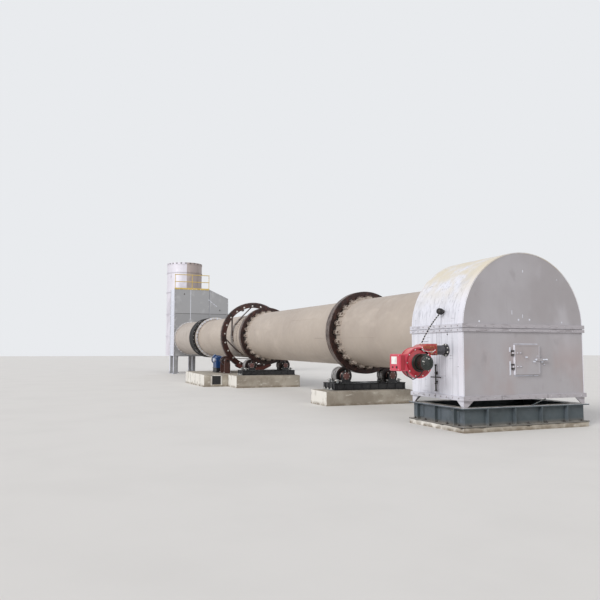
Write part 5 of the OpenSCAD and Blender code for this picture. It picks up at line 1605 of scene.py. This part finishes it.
def wall_details():
    """Edge angles, joints, seams and fittings of the chamber's front and back walls."""
    edge, bolts, pale, dark = Piece(), Piece(), Piece(), Piece()
    for x, out in ((CHAMBER_X, 1), (CHAMBER_BACK, -1)):
        outline = chamber_edge(0.035)
        for i in range(5):
            a, b = Vector(outline[i]), Vector(outline[(i + 1) % 5])
            strip(edge, a, b, 0.07, x, out, 0.009)
            count = max(2, int((b - a).length / 0.28))
            for k in range(1, count):
                p = a.lerp(b, k / count)
                if x == CHAMBER_X and abs(p.x) < 1.1 and abs(p.y - axis_z(x)) < 1.14 and p.y < 1.4:
                    continue
                bolts.bolt((x + out * 0.009, p.x, p.y), (out, 0, 0), 0.026)
    x = CHAMBER_X
    top, low = CHAMBER_Z[1], CHAMBER_Z[0]
    strip(pale, (-0.04, 3.62), (-0.04, 5.64), 0.035, x, 1, 0.006)
    strip(dark, (1.25, 1.27), (1.25, 5.63), 0.022, x, 1, 0.003)
    strip(dark, (-1.05, 4.03), (2.48, 4.03), 0.022, x, 1, 0.003)
    strip(pale, (1.28, 1.27), (1.28, 5.63), 0.014, x, 1, 0.005)
    strip(pale, (1.21, 4.98), (1.74, 4.57), 0.02, x, 1, 0.012)
    for t in (0.0, 0.35, 0.7, 1.0):
        y, z = 1.21 + 0.53 * t, 4.98 - 0.41 * t
        pale.block((x, y - 0.03, z - 0.03), (x + 0.02, y + 0.03, z + 0.03), 0.008)
    dark.lathe([(0, 0.045), (0.01, 0.042), (0.012, 0)], 20, at=Matrix.Translation((x, -0.47, 5.34)))
    edge.lathe([(0, 0.07), (0.012, 0.066), (0.016, 0.03), (0.016, 0)], 24,
               at=Matrix.Translation((x, 1.98, 4.30)) @ Matrix.Diagonal((1, 1, 1.5, 1)))
    dark.lathe([(0.014, 0.036), (0.019, 0.032), (0.019, 0)], 20,
               at=Matrix.Translation((x, 1.98, 4.30)) @ Matrix.Diagonal((1, 1, 1.5, 1)))
    back = CHAMBER_BACK
    strip(dark, (-1.05, 4.75), (2.48, 4.75), 0.022, back, -1, 0.003)
    strip(dark, (1.55, 1.27), (1.55, 5.6), 0.022, back, -1, 0.003)
    for i in range(4):
        strip(edge, (0.95 + i * 0.42, 1.3), (0.95 + i * 0.42, 4.7), 0.03, back, -1, 0.016)
    edge.done("chamber_edges", "plant", "chamber_grey", CHAMBER)
    bolts.done("chamber_bolts", "plant", "chamber_grey", PALE)
    pale.done("chamber_seams", "plant", "chamber_grey", PALE)
    dark.done("chamber_joints", "plant", "chamber_grey", DARK_IRON)


def side_details():
    """Ribs and seams on the chamber's sides, roof and floor, and plates on its legs."""
    ribs, dark, bolts = Piece(), Piece(), Piece()
    x0, x1 = CHAMBER_BACK, CHAMBER_X
    zs = (1.85, 2.55, 3.25, 3.95, 4.65)
    for s, y in ((-1, CHAMBER_Y[0]), (1, CHAMBER_Y[1])):
        for z in zs:
            a, b = sorted((y, y + s * 0.012))
            ribs.block((x0 + 0.05, a, z - 0.03), (x1 - 0.05, b, z + 0.03), 0.003)
        for x in (x0 + 0.5, x0 + 1.0):
            a, b = sorted((y - s * 0.002, y + s * 0.004))
            dark.block((x - 0.006, a, CHAMBER_Z[0] + 0.08), (x + 0.006, b, 4.9), 0.0)
        for x in (x0 + 0.03, x1 - 0.03):
            a, b = sorted((y, y + s * 0.01))
            ribs.block((x - 0.03, a, CHAMBER_Z[0]), (x + 0.03, b, 4.93), 0.003)
            for i in range(14):
                bolts.bolt((x, y + s * 0.01, CHAMBER_Z[0] + 0.12 + i * 0.26), (0, s, 0), 0.024)
    for x in (x0 + 0.35, x0 + 0.75, x0 + 1.15):
        ribs.block((x - 0.025, CHAMBER_Y[0] + 0.02, CHAMBER_Z[1] - 0.002), (x + 0.025, shoulder, CHAMBER_Z[1] + 0.012), 0.003)
    for x in (x0 + 0.35, x0 + 1.15):
        ribs.block((x - 0.03, CHAMBER_Y[0] + 0.02, CHAMBER_Z[0] - 0.04), (x + 0.03, CHAMBER_Y[1] - 0.02, CHAMBER_Z[0] + 0.002), 0.003)
    side = 0.21
    places = [(x, y) for x in (x0, x1 - side) for y in (CHAMBER_Y[0], CHAMBER_Y[1] - side)]
    centre = STACK_PLACE.translation
    places += [(centre.x + sx * STACK_R / 2 - side / 2, centre.y + sy * STACK_R / 2 - side / 2)
               for sx in (-1, 1) for sy in (-1, 1)]
    for x, y in places:
        ribs.block((x - 0.05, y - 0.05, 0.0), (x + side + 0.05, y + side + 0.05, 0.022), 0.004)
        ribs.block((x - 0.03, y - 0.03, CHAMBER_Z[0] - 0.022), (x + side + 0.03, y + side + 0.03, CHAMBER_Z[0] - 0.001), 0.004)
        for bx in (x - 0.025, x + side + 0.025):
            for by in (y - 0.025, y + side + 0.025):
                bolts.bolt((bx, by, 0.022), (0, 0, 1), 0.03, stud=True)
        for gx, gy, turn in ((x + side / 2, y, 180), (x + side / 2, y + side, 0)):
            s = 1 if turn == 0 else -1
            points = [(gx - 0.008, gy, 0.022), (gx - 0.008, gy + s * 0.045, 0.022), (gx - 0.008, gy, 0.2),
                      (gx + 0.008, gy, 0.022), (gx + 0.008, gy + s * 0.045, 0.022), (gx + 0.008, gy, 0.2)]
            ribs.add(points, [(0, 1, 2), (5, 4, 3), (0, 3, 4, 1), (1, 4, 5, 2), (2, 5, 3, 0)])
    ribs.done("chamber_ribs", "plant", "chamber_grey", CHAMBER_LIT_SIDE)
    dark.done("chamber_side_seams", "plant", "chamber_grey", DARK_IRON)
    bolts.done("chamber_side_bolts", "plant", "chamber_grey", PALE)


def stack_details():
    """Flanged joints with bolts, a vertical lap, brackets and the rim of the stack, with tabs and painted shade in the
    notches between them.
    """
    p, bolts, dark = Piece(STACK_PLACE), Piece(STACK_PLACE), Piece(STACK_PLACE)
    up = Matrix.Rotation(math.radians(-90), 4, "Y")
    for z in (2.55, 4.1, 5.65, 7.05):
        for s in (-1, 1):
            p.lathe([(z + s * 0.018 - 0.012, STACK_R - 0.003), (z + s * 0.018 - 0.012, STACK_R + 0.03),
                     (z + s * 0.018 + 0.012, STACK_R + 0.03), (z + s * 0.018 + 0.012, STACK_R - 0.003)], 96, at=up)
        for i in range(36):
            a = math.radians(i * 10 + 5)
            bolts.bolt((math.cos(a) * (STACK_R + 0.016), math.sin(a) * (STACK_R + 0.016), z + 0.03), (0, 0, 1), 0.022)
    for z in (3.3, 4.9, 6.4):
        p.lathe([(z - 0.01, STACK_R - 0.003), (z - 0.005, STACK_R + 0.004), (z + 0.005, STACK_R + 0.004),
                 (z + 0.01, STACK_R - 0.003)], 96, at=up)
    top = stack_high.z
    for i in range(24):
        a = math.radians(i * 15)
        at = Matrix.Rotation(a, 4, "Z")
        p.block((STACK_R - 0.004, -0.07, top - 0.1), (STACK_R + 0.014, 0.07, top), 0.003, at=at)
    p.lathe([(top - 0.14, STACK_R - 0.003), (top - 0.14, STACK_R + 0.02), (top - 0.1, STACK_R + 0.02),
             (top - 0.1, STACK_R - 0.003)], 96, at=up)
    p.lathe([(top - 0.012, STACK_R - 0.05), (top - 0.012, STACK_R + 0.004), (top, STACK_R + 0.004), (top, STACK_R - 0.05)],
            96, closed=True, at=up)
    # Dark patches between the rim tabs stand for the shade in the notches: painted shade.
    for i in range(24):
        at = Matrix.Rotation(math.radians(7.5 + i * 15), 4, "Z")
        dark.block((STACK_R - 0.004, -0.05, top - 0.09), (STACK_R + 0.003, 0.05, top - 0.014), 0.0, at=at)
    dark.done("stack_notch_shade", "plant", "stack_paint", DARK_IRON)
    for degrees in (-78, 102):
        at = Matrix.Rotation(math.radians(degrees), 4, "Z")
        p.block((STACK_R - 0.003, -0.03, 1.3), (STACK_R + 0.008, 0.03, top - 0.14), 0.002, at=at)
        for i in range(40):
            bolts.lathe([(0, 0.009), (0.004, 0.008), (0.007, 0)], 8,
                        at=at @ Matrix.Translation((STACK_R + 0.008, 0, 1.4 + i * 0.155)))
    for degrees in (-60, 60, 150, 210):
        at = Matrix.Rotation(math.radians(degrees), 4, "Z")
        p.block((STACK_R - 0.01, -0.06, 6.72), (STACK_R + 0.012, 0.06, 6.86), 0.004, at=at)
        p.block((STACK_R, -0.008, 6.74), (STACK_R + 0.045, 0.008, 6.84), 0.0, at=at)
    door = Matrix.Rotation(math.radians(180), 4, "Z")
    p.block((STACK_R - 0.02, -0.24, 1.6), (STACK_R + 0.02, 0.24, 2.2), 0.006, at=door)
    for y in (-0.2, 0.2):
        for z in (1.65, 1.9, 2.15):
            bolts.bolt(door @ Vector((STACK_R + 0.02, y, z)), door.to_3x3() @ Vector((1, 0, 0)), 0.024)
    p.done("stack_bands", "plant", "stack_paint", STACK_PAINT)
    bolts.done("stack_bolts", "plant", "stack_paint", PALE)
    low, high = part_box("stack_neck")
    neck = Piece()
    for x in (low.x + 0.2, high.x - 0.012):
        neck.block((x - 0.012, low.y - 0.03, high.z - 0.002), (x + 0.012, high.y + 0.03, high.z + 0.028), 0.0)
        neck.block((x - 0.012, low.y - 0.03, low.z - 0.028), (x + 0.012, high.y + 0.03, low.z + 0.002), 0.0)
        for y in (low.y, high.y):
            s = -1 if y == low.y else 1
            a, b = sorted((y - s * 0.002, y + s * 0.03))
            neck.block((x - 0.012, a, low.z), (x + 0.012, b, high.z), 0.0)
    neck.done("neck_flanges", "plant", "stack_paint", STACK_PAINT)


def rail_details():
    """Feet, joints and clamps of the roof rail."""
    low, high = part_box("roof_rail")
    p, bolts = Piece(), Piece()
    x = high.x - (high.x - CHAMBER_X) - 0.024
    z = CHAMBER_Z[1]
    ys = (low.y + 0.024, (low.y + high.y) / 2, high.y - 0.024)
    for y in ys:
        p.block((x - 0.05, y - 0.05, z - 0.001), (x + 0.022, y + 0.05, z + 0.012), 0.003)
        for dx, dy in ((-0.036, -0.036), (-0.036, 0.036)):
            bolts.bolt((x + dx, y + dy, z + 0.012), (0, 0, 1), 0.016, washer=False)
        for dz in (0.475, 0.95):
            p.ball((x, y, z + dz), 0.03, 16)
    for y in (low.y + 0.2, low.y + 0.75, low.y + 1.3, high.y - 0.25):
        bolts.bolt((high.x, y, z + 0.02), (1, 0, 0), 0.018)
    p.done("rail_joints", "plant", "rail_yellow", YELLOW)
    bolts.done("rail_bolts", "plant", "rail_yellow", PALE)


seal_details()
collar_details()
wall_details()
side_details()
stack_details()
rail_details()

# Stage, light and camera


def stage():
    floor_mesh = bpy.data.meshes.new("floor")
    reach = 160.0
    floor_mesh.from_pydata([(-reach, -reach, 0), (reach, -reach, 0), (reach, reach, 0), (-reach, reach, 0)], [],
                           [(0, 1, 2, 3)])
    p = Paint("pale_floor", (214, 211, 206), 0.85)
    p.over((211, 208, 203), p.span(p.noise(0.6, detail=5), 0.4, 0.7))
    p.bump(p.noise(12, detail=4), 0.002, 0.3)
    floor_mesh.materials.append(p.done())
    floor = bpy.data.objects.new("floor", floor_mesh)
    floor.location.z = -0.002
    bpy.context.scene.collection.objects.link(floor)


def world_light():
    world = bpy.data.worlds.new("studio")
    bpy.context.scene.world = world
    world.use_nodes = True
    nodes, links = world.node_tree.nodes, world.node_tree.links
    nodes.clear()
    out = nodes.new("ShaderNodeOutputWorld")
    lit = nodes.new("ShaderNodeBackground")
    lit.inputs["Color"].default_value = linear((246, 248, 255))
    lit.inputs["Strength"].default_value = 0.62
    seen = nodes.new("ShaderNodeBackground")
    seen.inputs["Color"].default_value = linear((233, 235, 238))
    seen.inputs["Strength"].default_value = 1.0
    path = nodes.new("ShaderNodeLightPath")
    either = nodes.new("ShaderNodeMath")
    either.operation = "MAXIMUM"
    both = nodes.new("ShaderNodeMath")
    both.operation = "MAXIMUM"
    mix = nodes.new("ShaderNodeMixShader")
    links.new(path.outputs["Is Camera Ray"], either.inputs[0])
    links.new(path.outputs["Is Glossy Ray"], either.inputs[1])
    links.new(either.outputs[0], both.inputs[0])
    links.new(path.outputs["Is Transmission Ray"], both.inputs[1])
    links.new(both.outputs[0], mix.inputs["Fac"])
    links.new(lit.outputs[0], mix.inputs[1])
    links.new(seen.outputs[0], mix.inputs[2])
    links.new(mix.outputs[0], out.inputs["Surface"])


def sun(name, direction, strength, angle):
    data = bpy.data.lights.new(name, "SUN")
    data.energy = strength
    data.angle = math.radians(angle)
    lamp = bpy.data.objects.new(name, data)
    lamp.rotation_euler = Vector(direction).to_track_quat("-Z", "Y").to_euler()
    bpy.context.scene.collection.objects.link(lamp)


# The photograph's camera, worked out in metres and radians

CAMERA_PLACE = Vector((16.95, -8.883, 1.56))
CAMERA_YAW = 0.3805
CAMERA_PITCH = -0.0802
CAMERA_ROLL = 0.0009
CAMERA_LENS = 37.63


def camera():
    level = Vector((-math.cos(CAMERA_YAW), math.sin(CAMERA_YAW), 0))
    side = Vector((math.sin(CAMERA_YAW), math.cos(CAMERA_YAW), 0))
    forward = level * math.cos(CAMERA_PITCH) - Z_AXIS * math.sin(CAMERA_PITCH)
    up = Z_AXIS * math.cos(CAMERA_PITCH) + level * math.sin(CAMERA_PITCH)
    right = side * math.cos(CAMERA_ROLL) + up * math.sin(CAMERA_ROLL)
    top = up * math.cos(CAMERA_ROLL) - side * math.sin(CAMERA_ROLL)
    data = bpy.data.cameras.new("camera")
    data.lens = CAMERA_LENS
    data.sensor_width = 36.0
    data.sensor_fit = "HORIZONTAL"
    data.clip_end = 400.0
    eye = bpy.data.objects.new("camera", data)
    eye.matrix_world = Matrix.Translation(CAMERA_PLACE) @ Matrix((right, top, -forward)).transposed().to_4x4()
    bpy.context.scene.collection.objects.link(eye)
    bpy.context.scene.camera = eye


stage()
world_light()
sun("key", (-0.42, 0.78, -0.52), 2.3, 24)
sun("fill", (-0.9, -0.25, -0.35), 0.45, 40)
camera()
bpy.context.scene.view_settings.view_transform = "Standard"
